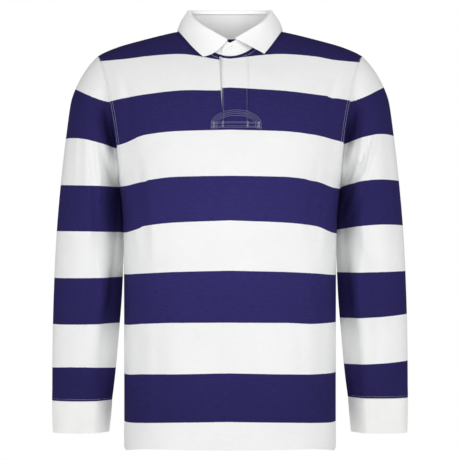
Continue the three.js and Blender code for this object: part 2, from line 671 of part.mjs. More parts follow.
addPiece("front", frontPanel(), hoopedJersey);
addPiece("back", backPanel(), hoopedJersey);
addPiece("sleeve_left", sleeve(1, LEFT_SLEEVE_FOLDS), hoopedJersey);
addPiece("sleeve_right", sleeve(-1, RIGHT_SLEEVE_FOLDS), hoopedJersey);
addPiece("cuff_left", cuff(1), whiteJersey);
addPiece("cuff_right", cuff(-1), whiteJersey);
addPiece("collar_stand", collarStand(), whiteTwill);
addPiece("collar_leaf", collarLeaf(), whiteTwill);
const overOut = LAY_GAP + STRIP_CLOTH;
addPiece(
  "placket_over",
  placketStrip(PLACKET_EDGE_X, PLACKET_STITCH_X, PLACKET_BOTTOM_Z, overOut, STRIP_CLOTH, 4, 10),
  hoopedJersey,
);
addPiece(
  "placket_under",
  placketStrip(UNDERLAP_X.from, UNDERLAP_X.to, PLACKET_BOTTOM_Z, -CLOTH - LAY_GAP, STRIP_CLOTH, 4, 10),
  whiteTwill,
);
shirt.add(buttonMesh());

export default shirt;
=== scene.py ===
"""Hooped rugby shirt, filled out as worn: thin jersey on the solids' form, with folds and stitching."""
import bmesh
import bpy
from math import asin, atan2, copysign, cos, exp, hypot, pi, radians, sin, sqrt
from mathutils import Matrix, Vector


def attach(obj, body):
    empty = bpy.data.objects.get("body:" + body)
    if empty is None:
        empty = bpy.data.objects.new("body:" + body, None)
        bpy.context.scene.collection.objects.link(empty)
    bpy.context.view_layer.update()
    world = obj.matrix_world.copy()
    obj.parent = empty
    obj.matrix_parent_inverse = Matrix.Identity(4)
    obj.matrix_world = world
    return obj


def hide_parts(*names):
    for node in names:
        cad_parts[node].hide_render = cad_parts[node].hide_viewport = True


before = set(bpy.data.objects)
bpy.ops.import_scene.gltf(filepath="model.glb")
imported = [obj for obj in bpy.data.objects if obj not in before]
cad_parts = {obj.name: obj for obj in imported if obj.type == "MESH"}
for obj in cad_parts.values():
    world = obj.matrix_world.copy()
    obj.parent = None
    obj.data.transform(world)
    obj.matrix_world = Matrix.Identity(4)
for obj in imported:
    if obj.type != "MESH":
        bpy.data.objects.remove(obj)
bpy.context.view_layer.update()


def table(columns, rows):
    """Rows of numbers, each as a dictionary under the names of the columns."""
    return [dict(zip(columns.split(), row)) for row in rows]


# Sizes in millimetres. The scene is in metres, so pieces are scaled as their meshes are made.
MM = 0.001
JERSEY = 1.4
TWILL = 1.3
PLACKET_JERSEY = 1.2
SEAM_GAP = 0.5
LAY_GAP = 0.4
HEM_Z = -730
HEM_ROW_Z = -704
HEM_DIP = 0.45
VENT_TOP_Z = -688
ARMPIT_Z = -262
SHOULDER_POINT_Z = -47
NECK_FRONT_Z = -54
NECK_BACK_Z = -9
NECK_HALF_WIDTH = 73
HEM_CORNER = 5
VENT_OPENING = 2.5
ARMHOLE_SCOOP = {"front": 11.5, "back": 6}
PLACKET_EDGE_X = -13
PLACKET_STITCH_X = 30.5
PLACKET_BOTTOM_Z = -176
SLIT_BOTTOM_Z = -147
SLIT_TOP_GAP = 5.5
ON_STRIP = LAY_GAP + 1.5
FRONT_ROW_Z = {"hem": -721, "armpit": -250, "shoulder": -112}
BACK_ROW_Z = {"hem": -734, "armpit": -256, "shoulder": -84}

# Level sections of the body: half its width, its depth to the front and to the back, and how square it is
BODY_SECTIONS = table("z half_width front back power", [
    (HEM_Z, 184.6, 118, 115, 2.6), (-620, 184.6, 116, 108, 2.6),
    (-500, 184.8, 116, 97, 2.6), (-420, 185.0, 118, 93, 2.6),
    (-340, 186.5, 121, 97, 2.55), (-262, 194.5, 125, 104, 2.5),
    (-200, 210, 123.5, 109, 2.4), (-150, 226, 116, 109, 2.25),
    (-110, 243, 105, 104, 2.1), (-80, 249, 93, 96, 2),
    (-62, 246, 82.5, 90, 2), (-47, 232, 73.5, 84, 2),
    (-31.5, 199, 62, 76.5, 2), (-17.5, 150, 50, 69, 2),
    (-5, 99, 36, 60, 2), (0, NECK_HALF_WIDTH, 30, 56.5, 2),
    (6, 52, 22, 50, 2),
])

# The wearer's right cuff is sewn on a little lower.
RIGHT_CUFF_DROP = 5

# The sleeve's rings from the armhole to the cuff: top line, underarm line, half the depth,
# and how far it hangs forward
SLEEVE_RINGS = table("at top_x top_z under_x under_z half_depth forward", [
    (0, 232, -47, 194.5, -262, 56, 0), (1, 260.5, -77, 194.0, -271, 60, 0),
    (2, 276, -118, 191.2, -286, 63, 1), (3, 286, -185, 188.0, -312, 63, 2),
    (4, 295.7, -273, 185.9, -352, 60, 5), (5, 302.1, -353, 187.2, -402, 54, 9),
    (6, 306, -437, 189.5, -463, 46, 14), (7, 308, -520, 194.5, -532, 37, 19),
    (8, 308.6, -595, 200.3, -600, 29, 23), (9, 308.6, -640, 205.3, -640, 23, 25),
])
ARMHOLE_BLEND = 2.2
# Where round the sleeve its slope towards the body starts, above and low down, and how far back it ends
SLOPE_FROM = -0.3
SLOPE_FROM_LOW = -0.5
SLOPE_BACK = 24
# The tuck beside the armhole's seam: how deep, how far along the sleeve and how wide there,
# and where round it and how far it reaches, as shares of a turn
TUCK = dict(depth=36, along=0.9, width=0.42, middle=0.31, reach=0.09)
CUFF = dict(top_x=307.3, under_x=210.5, bottom_z=-701, half_depth=21, forward=26)

# Folds of the body, as lines across the panel seen from the front: a positive rise is a ridge,
# a negative one a trough
FRONT_FOLDS = table("from_x from_z to_x to_z width rise", [
    (-176, -200, -140, -420, 15, -4), (-152, -255, -118, -560, 20, 2.5),
    (178, -205, 142, -390, 15, -4), (160, -270, 120, -600, 22, 2.5),
    (-188, -95, -176, -215, 9, -3), (190, -95, 178, -215, 9, -3),
    # Lighter ones, on this finer cloth only
    (-184, -238, -166, -330, 6, -2.0), (-180, -262, -152, -390, 7, 4.2),
    (-156, -232, -139, -372, 6, -4.4), (-143, -262, -128, -410, 8, 3.0),
    (184, -240, 166, -336, 6, -1.6), (178, -268, 154, -396, 7, 3.8),
    (150, -236, 133, -360, 6, -4.0), (-96, -330, -88, -640, 22, 2.4),
    (58, -300, 84, -660, 24, 2.2), (-30, -400, -24, -690, 18, -2.0),
    (-118, -430, -124, -700, 11, -1.8), (116, -450, 126, -706, 11, -1.7),
    (-60, -70, -20, -96, 12, -1.0), (64, -66, 104, -84, 12, -0.9),
    (-150, -60, -70, -64, 11, 1.0), (-198, -88, -176, -150, 9, 3.4),
    (196, -88, 172, -160, 9, 3.4), (178, -96, 166, -190, 7, -4.4),
    (-178, -100, -166, -196, 7, -4.0), (-160, -470, -148, -680, 12, -2.4),
    (164, -480, 150, -690, 12, -2.4),
])
BACK_FOLDS = table("from_x from_z to_x to_z width rise", [
    (-176, -190, -120, -430, 17, -5), (176, -200, 126, -410, 17, -5),
    (-70, -300, -52, -640, 24, 4), (78, -280, 60, -620, 24, 4),
    (0, -330, 6, -560, 22, -4), (-184, -236, -136, -310, 7, -1.8),
    (184, -232, 140, -322, 7, -1.7), (-120, -380, -104, -600, 15, -1.8),
    (124, -360, 112, -570, 15, -1.6), (-46, -70, -104, -128, 15, 1.2),
    (40, -74, 96, -120, 15, 1.0),
])

# Folds of the sleeves: where they start and end round the ring, in degrees (0 at the top line,
# 90 at the front), and along the sleeve, in the numbers of SLEEVE_RINGS
LEFT_SLEEVE_FOLDS = table("from_turn from_at to_turn to_at width rise", [
    (150, 2.4, 134, 6.2, 6, -2.4), (118, 4.4, 124, 6.4, 10, 3),
    (140, 3.3, 76, 1.9, 9, -9), (136, 2.5, 92, 1.2, 8, -8),
    (140, 4.2, 84, 3.0, 11, -5), (118, 3.4, 70, 2.3, 6, 3),
    (124, 4.0, 104, 5.6, 9, -4), (138, 5.8, 128, 8.7, 13, -6),
    (104, 5.6, 98, 7.6, 9, -2.4), (70, 4.4, 84, 8.4, 14, 2),
    (46, 0.5, 64, 1.9, 10, 1.6), (40, 2.6, 58, 4.4, 12, -2),
    (150, 6.4, 110, 7.2, 7, -1.6), (228, 1.8, 300, 3.2, 14, -5),
    (222, 3.6, 282, 5.2, 16, -4), (236, 5.4, 262, 8.6, 13, -3),
    (212, 1.2, 222, 5.4, 13, -8),
])
RIGHT_SLEEVE_FOLDS = table("from_turn from_at to_turn to_at width rise", [
    (148, 2.2, 136, 6.6, 6, -2.6), (120, 4.2, 126, 6.6, 10, 3),
    (134, 2.4, 98, 1.6, 8, -5), (84, 1.9, 106, 4.9, 7, -4.5),
    (98, 1.9, 118, 4.4, 6, 3), (60, 2.0, 70, 3.8, 8, -2.6),
    (112, 2.9, 108, 5.4, 9, -5), (84, 2.4, 96, 4.6, 10, 2.4),
    (122, 3.6, 104, 2.6, 7, 2.2), (136, 5.6, 124, 8.7, 14, -7),
    (110, 5.4, 96, 7.4, 9, -2.6), (74, 5.0, 86, 8.2, 12, 1.8),
    (48, 0.6, 62, 1.8, 10, 1.5), (38, 2.2, 56, 4.2, 12, -2),
    (148, 6.0, 112, 6.9, 7, -1.5), (226, 1.7, 292, 3.0, 14, -5),
    (224, 3.9, 276, 5.6, 16, -4), (238, 5.6, 258, 8.5, 13, -3),
    (210, 1.2, 224, 5.6, 13, -8),
])

# Collar: turn is the angle round the neck from the middle of the front, towards +X
STAND = dict(
    from_turn=-10.5, to_turn=370, top_half_width=68, top_front=72, top_back=41,
    top_front_z=-30.5, top_side_z=29, top_back_z=33.5, lap=1.6, lap_turn=34, round_turn=13, end_height=0.3,
)
LEAF = dict(
    from_turn=8, to_turn=356, roll=4.2, front_roll=2.9,
    side_reach=91, back_reach=62, lift=3.4, bulge=2.5,
)
LEAF_POINTS = {
    "left": dict(swing=29.5, reach=96.5, sag=0),
    "right": dict(swing=25.6, reach=92.5, sag=6),
}
BUTTON = dict(
    turn=3.2, height_share=0.6, radius=5.75, thickness=2.6, hole_radius=0.75, hole_offset=1.35,
    rim=1.1, slope=0.6, dish=0.7, dish_edge=1.2, softness=0.28,
)

# Heights at which the cloth changes between navy and white, from the shoulders down:
# at the middle of the front, further out, at both sides, and at the middle of the back
HOOPS = table("hoop middle quarter out wearer_right wearer_left back", [
    (0, -58.5, -49, -52.2, -56, -58, -44),
    (1, -110, -115, -120.6, -126, -124.5, -106),
    (2, -181.6, -183.6, -189.2, -202.5, -197, -184),
    (3, -260, -261.4, -267.5, -275, -279, -266),
    (4, -333.6, -337, -343, -354, -355.6, -344),
    (5, -419.4, -421.6, -424.6, -427, -428, -424),
    (6, -506, -506.6, -509.4, -513.6, -509, -509),
    (7, -592.4, -594.6, -596.5, -600, -597, -598),
    (8, -673, -675, -678, -681, -681, -684),
])
# The same on the sleeves: along the outer line, the middle of the front and the underarm line
LEFT_SLEEVE_HOOPS = table("outer front inner", [
    (-40, -30, -20), (-101.5, -142, -174), (-187, -190, -222),
    (-266, -265.5, -277), (-342, -341.5, -350), (-422, -423.5, -425),
    (-495, -500, -503.5), (-577, -581, -584), (-660, -663, -666),
])
RIGHT_SLEEVE_HOOPS = table("outer front inner", [
    (-40, -30, -20), (-105, -141, -168), (-191.5, -198, -222),
    (-273, -275, -275), (-352, -352.5, -354), (-434, -433.5, -433),
    (-513, -512.5, -512), (-589, -587, -591), (-668, -668, -668),
])
# Places on the front where a fold lets the hoops outside it hang a step lower
HOOP_STEPS = table("x z reach drop", [
    (-141, -262, 26, 1.9), (-153, -343, 24, 2.2),
    (133, -268, 24, 1.6), (170, -128, 18, 3.2),
])


# The form of the body, sleeves and collar

def mix(a, b, share):
    return a + (b - a) * share


def clamp01(value):
    return min(max(value, 0.0), 1.0)


def smooth(share):
    share = clamp01(share)
    return share * share * (3 - 2 * share)


def bell(distance, width):
    return exp(-((distance / width) ** 2))


def slope_at(table, key, column, i):
    """Slope of a column at a row, flat where the column turns, so that the curve keeps within its rows."""
    def step(j):
        return (table[j + 1][column] - table[j][column]) / (table[j + 1][key] - table[j][key])
    if i == 0:
        return step(0)
    if i == len(table) - 1:
        return step(i - 1)
    before, after = step(i - 1), step(i)
    return 0 if before * after <= 0 else 2 * before * after / (before + after)


def value_at(table, key, column, at):
    """Smooth value of a table's column between its rows. The key column rises from row to row."""
    last = len(table) - 1
    at = min(max(at, table[0][key]), table[last][key])
    i = 0
    while i < last - 1 and table[i + 1][key] < at:
        i += 1
    span = table[i + 1][key] - table[i][key]
    t = (at - table[i][key]) / span
    a, b = table[i][column], table[i + 1][column]
    ma, mb = slope_at(table, key, column, i) * span, slope_at(table, key, column, i + 1) * span
    start = a * (1 + 2 * t) * (1 - t) ** 2 + ma * t * (1 - t) ** 2
    return start + b * t * t * (3 - 2 * t) + mb * t * t * (t - 1)


def body(column, z):
    return value_at(BODY_SECTIONS, "z", column, z)


def body_y(x, z, side):
    """How far the body lies in front of (side -1) or behind (side 1) the side seams."""
    power = body("power", z)
    share = min(abs(x) / body("half_width", z), 1)
    return side * body("front" if side < 0 else "back", z) * (1 - share ** power) ** (1 / power)


def body_z(turn, reach):
    """Height at which the body's surface lies at a reach from the neck's axis, in the direction of a turn."""
    across, ahead = abs(sin(turn)), cos(turn)
    depth = "front" if ahead > 0 else "back"
    low, high = -150.0, 6.0
    for _ in range(40):
        middle = (low + high) / 2
        power = body("power", middle)
        total = (across / body("half_width", middle)) ** power + (abs(ahead) / body(depth, middle)) ** power
        if total ** (-1 / power) > reach:
            low = middle
        else:
            high = middle
    return low


def fold_rise(folds, names, a, b, scale_b=1.0):
    """Rise of all folds of a list at a point, given as the two coordinates that each fold names."""
    total = 0.0
    for fold in folds:
        from_a, from_b = fold["from_" + names[0]], fold["from_" + names[1]] * scale_b
        span_a, span_b = fold["to_" + names[0]] - from_a, fold["to_" + names[1]] * scale_b - from_b
        off_a, off_b = a - from_a, b * scale_b - from_b
        share = (off_a * span_a + off_b * span_b) / (span_a ** 2 + span_b ** 2)
        away = hypot(off_a - clamp01(share) * span_a, off_b - clamp01(share) * span_b)
        if away < fold["width"] * 3.2:
            ends = sin(pi * mix(0.12, 0.88, clamp01(share)))
            total += fold["rise"] * bell(away, fold["width"]) * ends
    return total


def armhole_point(around, side):
    """A point of the armhole's front or back half, from 0 at the armpit to pi at the shoulder point."""
    share = (1 - cos(around)) / 2
    z = mix(ARMPIT_Z, SHOULDER_POINT_Z, share)
    straight = mix(body("half_width", ARMPIT_Z), body("half_width", SHOULDER_POINT_Z), share)
    x = straight - ARMHOLE_SCOOP["front" if side < 0 else "back"] * sin(around)
    at_end = around <= 0 or around >= pi
    return Vector((x, 0 if at_end else body_y(x, z, side), z))


def lengths_along(points):
    lengths = [0.0]
    for before, after in zip(points, points[1:]):
        lengths.append(lengths[-1] + (after - before).length)
    return lengths


def pieces_at(lengths, targets):
    """For lengths along a line, in rising order: which piece of the line each is on, and its share there."""
    i = 1
    for target in targets:
        while i < len(lengths) - 1 and lengths[i] < target:
            i += 1
        yield i, (target - lengths[i - 1]) / max(lengths[i] - lengths[i - 1], 1e-9)


def evenly(points, count):
    """The same line with count + 1 points, evenly spaced."""
    lengths = lengths_along(points)
    targets = (lengths[-1] * step / count for step in range(count + 1))
    return [points[i - 1].lerp(points[i], clamp01(share)) for i, share in pieces_at(lengths, targets)]


ROWS = dict(side=44, armhole=36, shoulder=14)
ARMHOLES = {
    name: evenly([armhole_point(pi * i / 300, side) for i in range(301)], ROWS["armhole"])
    for name, side in (("front", -1), ("back", 1))
}
ARMHOLE_LOOP = list(reversed(ARMHOLES["front"])) + ARMHOLES["back"][1:-1]


def panel_rows(side):
    """The rows of a body panel: where each meets the panel's edge, its height at the middle and its bow."""
    middle = FRONT_ROW_Z if side < 0 else BACK_ROW_Z
    neck_z = NECK_FRONT_Z if side < 0 else NECK_BACK_Z
    seam = side * 0.15
    rows = []
    heights = [HEM_Z, HEM_Z + 0.7, HEM_Z + 2.2, HEM_Z + HEM_CORNER]
    heights += [HEM_ROW_Z + step for step in (-9, -2.5, 0, 2.5)] + [VENT_TOP_Z - 1]
    upper = ROWS["side"] - 7
    for i in range(upper):
        heights.append(mix(VENT_TOP_Z, ARMPIT_Z, i / upper))
    for z in heights:
        share = (z - HEM_Z) / (ARMPIT_Z - HEM_Z)
        drop = max(HEM_Z + HEM_CORNER - z, 0)
        x = body("half_width", z) - (HEM_CORNER - sqrt(max(HEM_CORNER ** 2 - drop ** 2, 0)))
        y = side * VENT_OPENING * smooth((VENT_TOP_Z - z) / 14) if z < VENT_TOP_Z else seam
        rows.append(dict(edge=Vector((x, y, z)), middle_z=mix(middle["hem"], middle["armpit"], share),
                         bow=mix(8, 4, share), seam=True, kind="side"))
    for i, edge in enumerate(ARMHOLES["front" if side < 0 else "back"]):
        share = i / ROWS["armhole"]
        on_seam = i in (0, ROWS["armhole"])
        place = Vector((edge.x, seam, edge.z)) if on_seam else edge
        rows.append(dict(edge=place, middle_z=mix(middle["armpit"], middle["shoulder"], share),
                         bow=mix(4, 2.6, share), seam=on_seam, kind="armhole"))
    for i in range(1, ROWS["shoulder"] + 1):
        share = i / ROWS["shoulder"]
        z = mix(SHOULDER_POINT_Z, 0, share ** 0.8)
        edge = Vector((body("half_width", z), seam, z))
        rows.append(dict(edge=edge, middle_z=mix(middle["shoulder"], neck_z, share),
                         bow=mix(2.6, 2, share), seam=True, kind="shoulder"))
    return rows


def panel_point(row, side, x, out_share=0.0):
    """A point of a panel on a row: at x in the middle columns, or a share of the way on to the edge."""
    edge = row["edge"]
    if out_share == 1:
        return Vector((copysign(edge.x, x), edge.y, edge.z))
    half_width, power = body("half_width", edge.z), body("power", edge.z)

    def angle(width):
        return asin(min(width / half_width, 1) ** (power / 2))
    middle_angle = angle(abs(x))
    if out_share:
        out = mix(middle_angle, max(angle(edge.x), middle_angle), out_share)
        width = half_width * sin(out) ** (2 / power)
    else:
        width = abs(x)
    z = mix(row["middle_z"], edge.z, min(width / edge.x, 1) ** row["bow"])
    placed = copysign(width, x)
    folds = FRONT_FOLDS if side < 0 else BACK_FOLDS
    near_edge = smooth((1 - out_share) * 3)
    y = body_y(placed, z, side) + side * fold_rise(folds, "xz", placed, z) * near_edge
    return Vector((placed, y, z))


def neckline(turn):
    side = -1 if cos(turn) > 0 else 1
    x = NECK_HALF_WIDTH * sin(turn)
    z = mix(0, NECK_FRONT_Z if side < 0 else NECK_BACK_Z, cos(turn) ** 2)
    return Vector((x, body_y(x, z, side), z))


def stand_top(turn):
    ahead = cos(turn)
    from_front = abs(atan2(sin(turn), ahead)) / (pi / 2)
    if ahead > 0:
        z = mix(STAND["top_front_z"], STAND["top_side_z"], from_front)
    else:
        z = mix(STAND["top_side_z"], STAND["top_back_z"], -ahead)
    depth = STAND["top_front"] if ahead > 0 else STAND["top_back"]
    return Vector((STAND["top_half_width"] * sin(turn), -depth * ahead, z))


def outwards(turn):
    depth = STAND["top_front"] if cos(turn) > 0 else STAND["top_back"]
    return Vector((sin(turn) / STAND["top_half_width"], -cos(turn) / depth, 0)).normalized()


def lap_step(degrees_round):
    over = smooth(1 - (degrees_round - STAND["from_turn"]) / STAND["lap_turn"])
    under = smooth(1 - (STAND["to_turn"] - degrees_round) / STAND["lap_turn"])
    return STAND["lap"] * (over - under)


def stand_point(degrees_round, up_share):
    """A point of the neck band's outer side, from its foot to its top edge, with its rounded front end."""
    turn = radians(degrees_round)
    to_end = clamp01((degrees_round - STAND["from_turn"]) / STAND["round_turn"])
    height = mix(STAND["end_height"], 1, sqrt(1 - (1 - to_end) ** 2))
    foot = neckline(turn) + Vector((0, 0, SEAM_GAP))
    return foot.lerp(stand_top(turn), height * up_share) + outwards(turn) * lap_step(degrees_round)


def leaf_point(degrees_round):
    """The collar's point nearer to a place along it, and how strongly it acts there."""
    on_left = degrees_round < 180
    if on_left:
        away = (degrees_round - LEAF["from_turn"]) / (90 - LEAF["from_turn"])
    else:
        away = (LEAF["to_turn"] - degrees_round) / (LEAF["to_turn"] - 270)
    return LEAF_POINTS["left" if on_left else "right"], 1 if on_left else -1, clamp01(1 - away)


def leaf_edge(degrees_round):
    point, sign, pull = leaf_point(degrees_round)
    turn = radians(degrees_round + sign * point["swing"] * pull ** 1.5)
    ahead = cos(turn)
    if ahead > 0:
        reach = mix(LEAF["side_reach"], point["reach"], (ahead / cos(radians(34))) ** 2)
    else:
        reach = 1 / hypot(sin(turn) / LEAF["side_reach"], ahead / LEAF["back_reach"])
    z = body_z(turn, reach - LEAF["lift"]) + 1
    return Vector((reach * sin(turn), -reach * ahead, z))


# Rows of the leaf: up from the band, over the roll, and down the fall, which starts at LEAF_TURNED
LEAF_UP = 3
LEAF_ROLL = 9
LEAF_FALL = 26
LEAF_TURNED = LEAF_UP + LEAF_ROLL


def leaf_place(row, degrees_round):
    """A point of the leaf's outer side: up from the band, over the roll, then down the fall to the edge."""
    turn = radians(degrees_round)
    out = outwards(turn)
    point, _, pull = leaf_point(degrees_round)
    roll = mix(LEAF["roll"], LEAF["front_roll"], smooth(pull * 1.6 - 0.6))
    base = stand_top(turn) + out * (lap_step(degrees_round) - TWILL - 0.05)
    rise = -1.0
    if row <= LEAF_TURNED:
        if row < LEAF_UP:
            return base + Vector((0, 0, mix(rise, rise + 1.3, row / LEAF_UP)))
        angle = pi * (row - LEAF_UP) / LEAF_ROLL
        return base + out * roll * (1 - cos(angle)) + Vector((0, 0, rise + 1.3 + roll * sin(angle)))
    start = leaf_place(LEAF_TURNED, degrees_round)
    share = (row - LEAF_TURNED) / LEAF_FALL
    drop = -point["sag"] * pull ** 4 * sin(pi * share)
    crown = sin(pi * share) * LEAF["bulge"]
    return start.lerp(leaf_edge(degrees_round), share) + out * crown + Vector((0, 0, drop))


def beside_body(across, ahead, at):
    """A ring's place ahead and how far it is turned back. Beside the body it falls in a straight slope."""
    slack = smooth(at / 2) * (1 - 0.45 * smooth((at - 5.5) / 3))
    start = mix(SLOPE_FROM, SLOPE_FROM_LOW, smooth((at - 4.5) / 2))
    if across >= start:
        return ahead, 0.0
    level = sqrt(1 - start ** 2) * (across + 1) / (start + 1)
    back = SLOPE_BACK * slack * smooth((start - across) / (1 + start))
    return mix(ahead, copysign(level, ahead), slack), back


def sleeve_oval(at, turn, fold):
    ring = {column: value_at(SLEEVE_RINGS, "at", column, at)
            for column in ("top_x", "top_z", "under_x", "under_z", "half_depth", "forward")}
    top = Vector((ring["top_x"], -ring["forward"], ring["top_z"]))
    under = Vector((ring["under_x"], -ring["forward"], ring["under_z"]))
    centre = (top + under) / 2
    long = top - centre
    across = cos(turn)
    ahead, turned_back = beside_body(across, sin(turn), at)
    grow = 1 + fold / long.length
    flatten = 1 + fold / ring["half_depth"]
    y = turned_back - ahead * ring["half_depth"] * flatten
    return centre + long * (across * grow) + Vector((0, y, 0))


def loop_point(share):
    """A point of the armhole at a share of the way round it, from the shoulder point over the front."""
    place = (share % 1) * len(ARMHOLE_LOOP)
    i = int(place) % len(ARMHOLE_LOOP)
    return ARMHOLE_LOOP[i].lerp(ARMHOLE_LOOP[(i + 1) % len(ARMHOLE_LOOP)], place - int(place))


def sleeve_point(at, share, folds, side):
    turn = 2 * pi * share
    rise = fold_rise(folds, ("turn", "at"), 360 * share, at, 40) if at > 0 else 0
    oval = sleeve_oval(at, turn, rise)
    seam = loop_point(share) - Vector((0.1, 0, 0))
    point = seam.lerp(oval, smooth(at / ARMHOLE_BLEND))
    # In front, the cloth is drawn in beside the lower half of the armhole.
    drawn = bell(share - TUCK["middle"], TUCK["reach"])
    drawn *= bell(at - TUCK["along"], TUCK["width"]) * smooth(at / 0.2)
    point.y += TUCK["depth"] * drawn
    # The cloth puckers a little where it is gathered onto the cuff.
    last = SLEEVE_RINGS[-1]["at"]
    gather = smooth((at - last + 0.55) / 0.55)
    centre = sleeve_oval(at, 0, 0).lerp(sleeve_oval(at, pi, 0), 0.5)
    away = point - centre
    gather *= 1 - smooth((at - last + 0.12) / 0.12) * 0.6
    pucker = 0.35 * sin(turn * 13 + sin(turn * 5)) * gather
    point += away.normalized() * pucker
    if side < 0:
        point.z -= RIGHT_CUFF_DROP * smooth((at - last + 2) / 2)
    return Vector((side * point.x, point.y, point.z))


# Hoops

def hoop_number(levels, z):
    """Which hoop a height falls in, as a number that counts from the shoulders down, with its fraction."""
    if z >= levels[0]:
        return max(-0.95, (levels[0] - z) / 60)
    for i in range(len(levels) - 1):
        if z >= levels[i + 1]:
            return i + (levels[i] - z) / (levels[i] - levels[i + 1])
    return len(levels) - 1 + min((levels[-1] - z) / 80, 0.95)


def body_hoops(x, z, side):
    out = abs(x)
    end = "wearer_left" if x > 0 else "wearer_right"
    levels = []
    for row in HOOPS:
        columns = [dict(x=0, z=row["middle"] if side < 0 else row["back"]),
                   dict(x=90, z=row["quarter"] if side < 0 else mix(row["back"], row[end], 0.16)),
                   dict(x=145, z=row["out"] if side < 0 else mix(row["back"], row[end], 0.5)),
                   dict(x=182, z=row[end]),
                   dict(x=232, z=row[end] - (9 if row["hoop"] in (1, 2) else 2))]
        levels.append(value_at(columns, "x", "z", out))
    return hoop_number(levels, z)


def sleeve_hoops(levels, share, z):
    out = cos(2 * pi * share)
    outer, front, inner = out * (out + 1) / 2, 1 - out * out, out * (out - 1) / 2
    heights = [row["outer"] * outer + row["front"] * front + row["inner"] * inner for row in levels]
    return hoop_number(heights, z)


def step_down(x, z):
    """How much lower the front's hoops hang at a place outside a fold."""
    total = 0.0
    for step in HOOP_STEPS:
        past = (x - step["x"]) * copysign(1, step["x"])
        if past > -2:
            near = bell(z - step["z"], step["reach"]) * exp(-max(past, 0) / step["reach"])
            total += step["drop"] * smooth((past + 2) / 3) * near
    return total


# Pieces of cloth

def new_object(name, data):
    made = bpy.data.objects.new(name, data)
    bpy.context.collection.objects.link(made)
    return made


def discard(made):
    mesh = made.data
    bpy.data.objects.remove(made)
    bpy.data.meshes.remove(mesh)


def cloth(name, points, faces, thickness, hoops, flat, trim=None):
    """Closed thin wall from the points of its outer side, with its hoop numbers and flat places."""
    count = len(points)
    steps = [Vector() for _ in points]
    for a, b, c, d in faces:
        across = (points[c] - points[a]).cross(points[d] - points[b])
        for i in (a, b, c, d):
            steps[i] -= across
    inner = []
    for i, (point, step) in enumerate(zip(points, steps)):
        step = step.normalized()
        if trim:
            step = trim(i, step).normalized()
        inner.append(point + step * thickness)
    shell = list(faces) + [(d + count, c + count, b + count, a + count) for a, b, c, d in faces]
    edges = {}
    for face in faces:
        for start, end in zip(face, face[1:] + face[:1]):
            if (end, start) in edges:
                del edges[(end, start)]
            else:
                edges[(start, end)] = True
    shell += [(end, start, start + count, end + count) for start, end in edges]
    mesh = bpy.data.meshes.new(name)
    mesh.from_pydata([(p * MM)[:] for p in points + inner], [], shell)
    piece = new_object(name, mesh)
    if hoops:
        values = mesh.attributes.new("hoop", "FLOAT", "POINT")
        values.data.foreach_set("value", list(hoops) * 2)
    layer = mesh.uv_layers.new(name="cloth")
    for loop in mesh.loops:
        layer.data[loop.index].uv = flat[loop.vertex_index % count]
    smooth_with_edges(piece)
    return piece


def smooth_with_edges(piece, degrees=40):
    bpy.ops.object.select_all(action="DESELECT")
    piece.select_set(True)
    bpy.context.view_layer.objects.active = piece
    bpy.ops.object.shade_smooth_by_angle(angle=radians(degrees))
    piece.select_set(False)


def grid(rows, columns, place, closed=False, flip=False):
    """Points place(row, column) and their faces. A closed grid joins its last column to its first."""
    wide = columns if closed else columns + 1
    points = [place(i, j) for i in range(rows + 1) for j in range(wide)]
    faces = []
    for i in range(rows):
        for j in range(columns):
            k = (j + 1) % wide
            face = (i * wide + j, i * wide + k, (i + 1) * wide + k, (i + 1) * wide + j)
            faces.append(face[::-1] if flip else face)
    return points, faces, wide


def hang(piece, node, material):
    """Puts a piece of cloth, which already has its flat cut in metres, in place of its solid, with its
    finish.
    """
    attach(piece, "root")
    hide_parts(node)
    piece.data.materials.append(material)


def seam_dip(distance):
    """How far the cloth is drawn at a distance from a sewn seam."""
    return -0.6 * bell(distance, 4.5)


# Columns of a body panel: these in its middle, and so many more on either side of them
MIDDLE_X = [-36, -30, -24, -18, PLACKET_EDGE_X, -6, 0, 6, 12, 18, 24, 30, 36]
OUTER_COLUMNS = 34


def panel_columns():
    shares = [(i + 1) / OUTER_COLUMNS for i in range(OUTER_COLUMNS)]
    return ([(MIDDLE_X[0], share) for share in reversed(shares)] + [(x, 0) for x in MIDDLE_X]
            + [(MIDDLE_X[-1], share) for share in shares])


# Radii that the flat places round the body and round a sleeve are reckoned with
GIRTH_RADIUS = 260
SLEEVE_RADIUS = 180


def round_flat(points, columns):
    """Flat places of a closed piece. They run out and back again, so that there is no jump."""
    return [(SLEEVE_RADIUS * MM * cos(2 * pi * (i % columns) / columns), p.z * MM)
            for i, p in enumerate(points)]


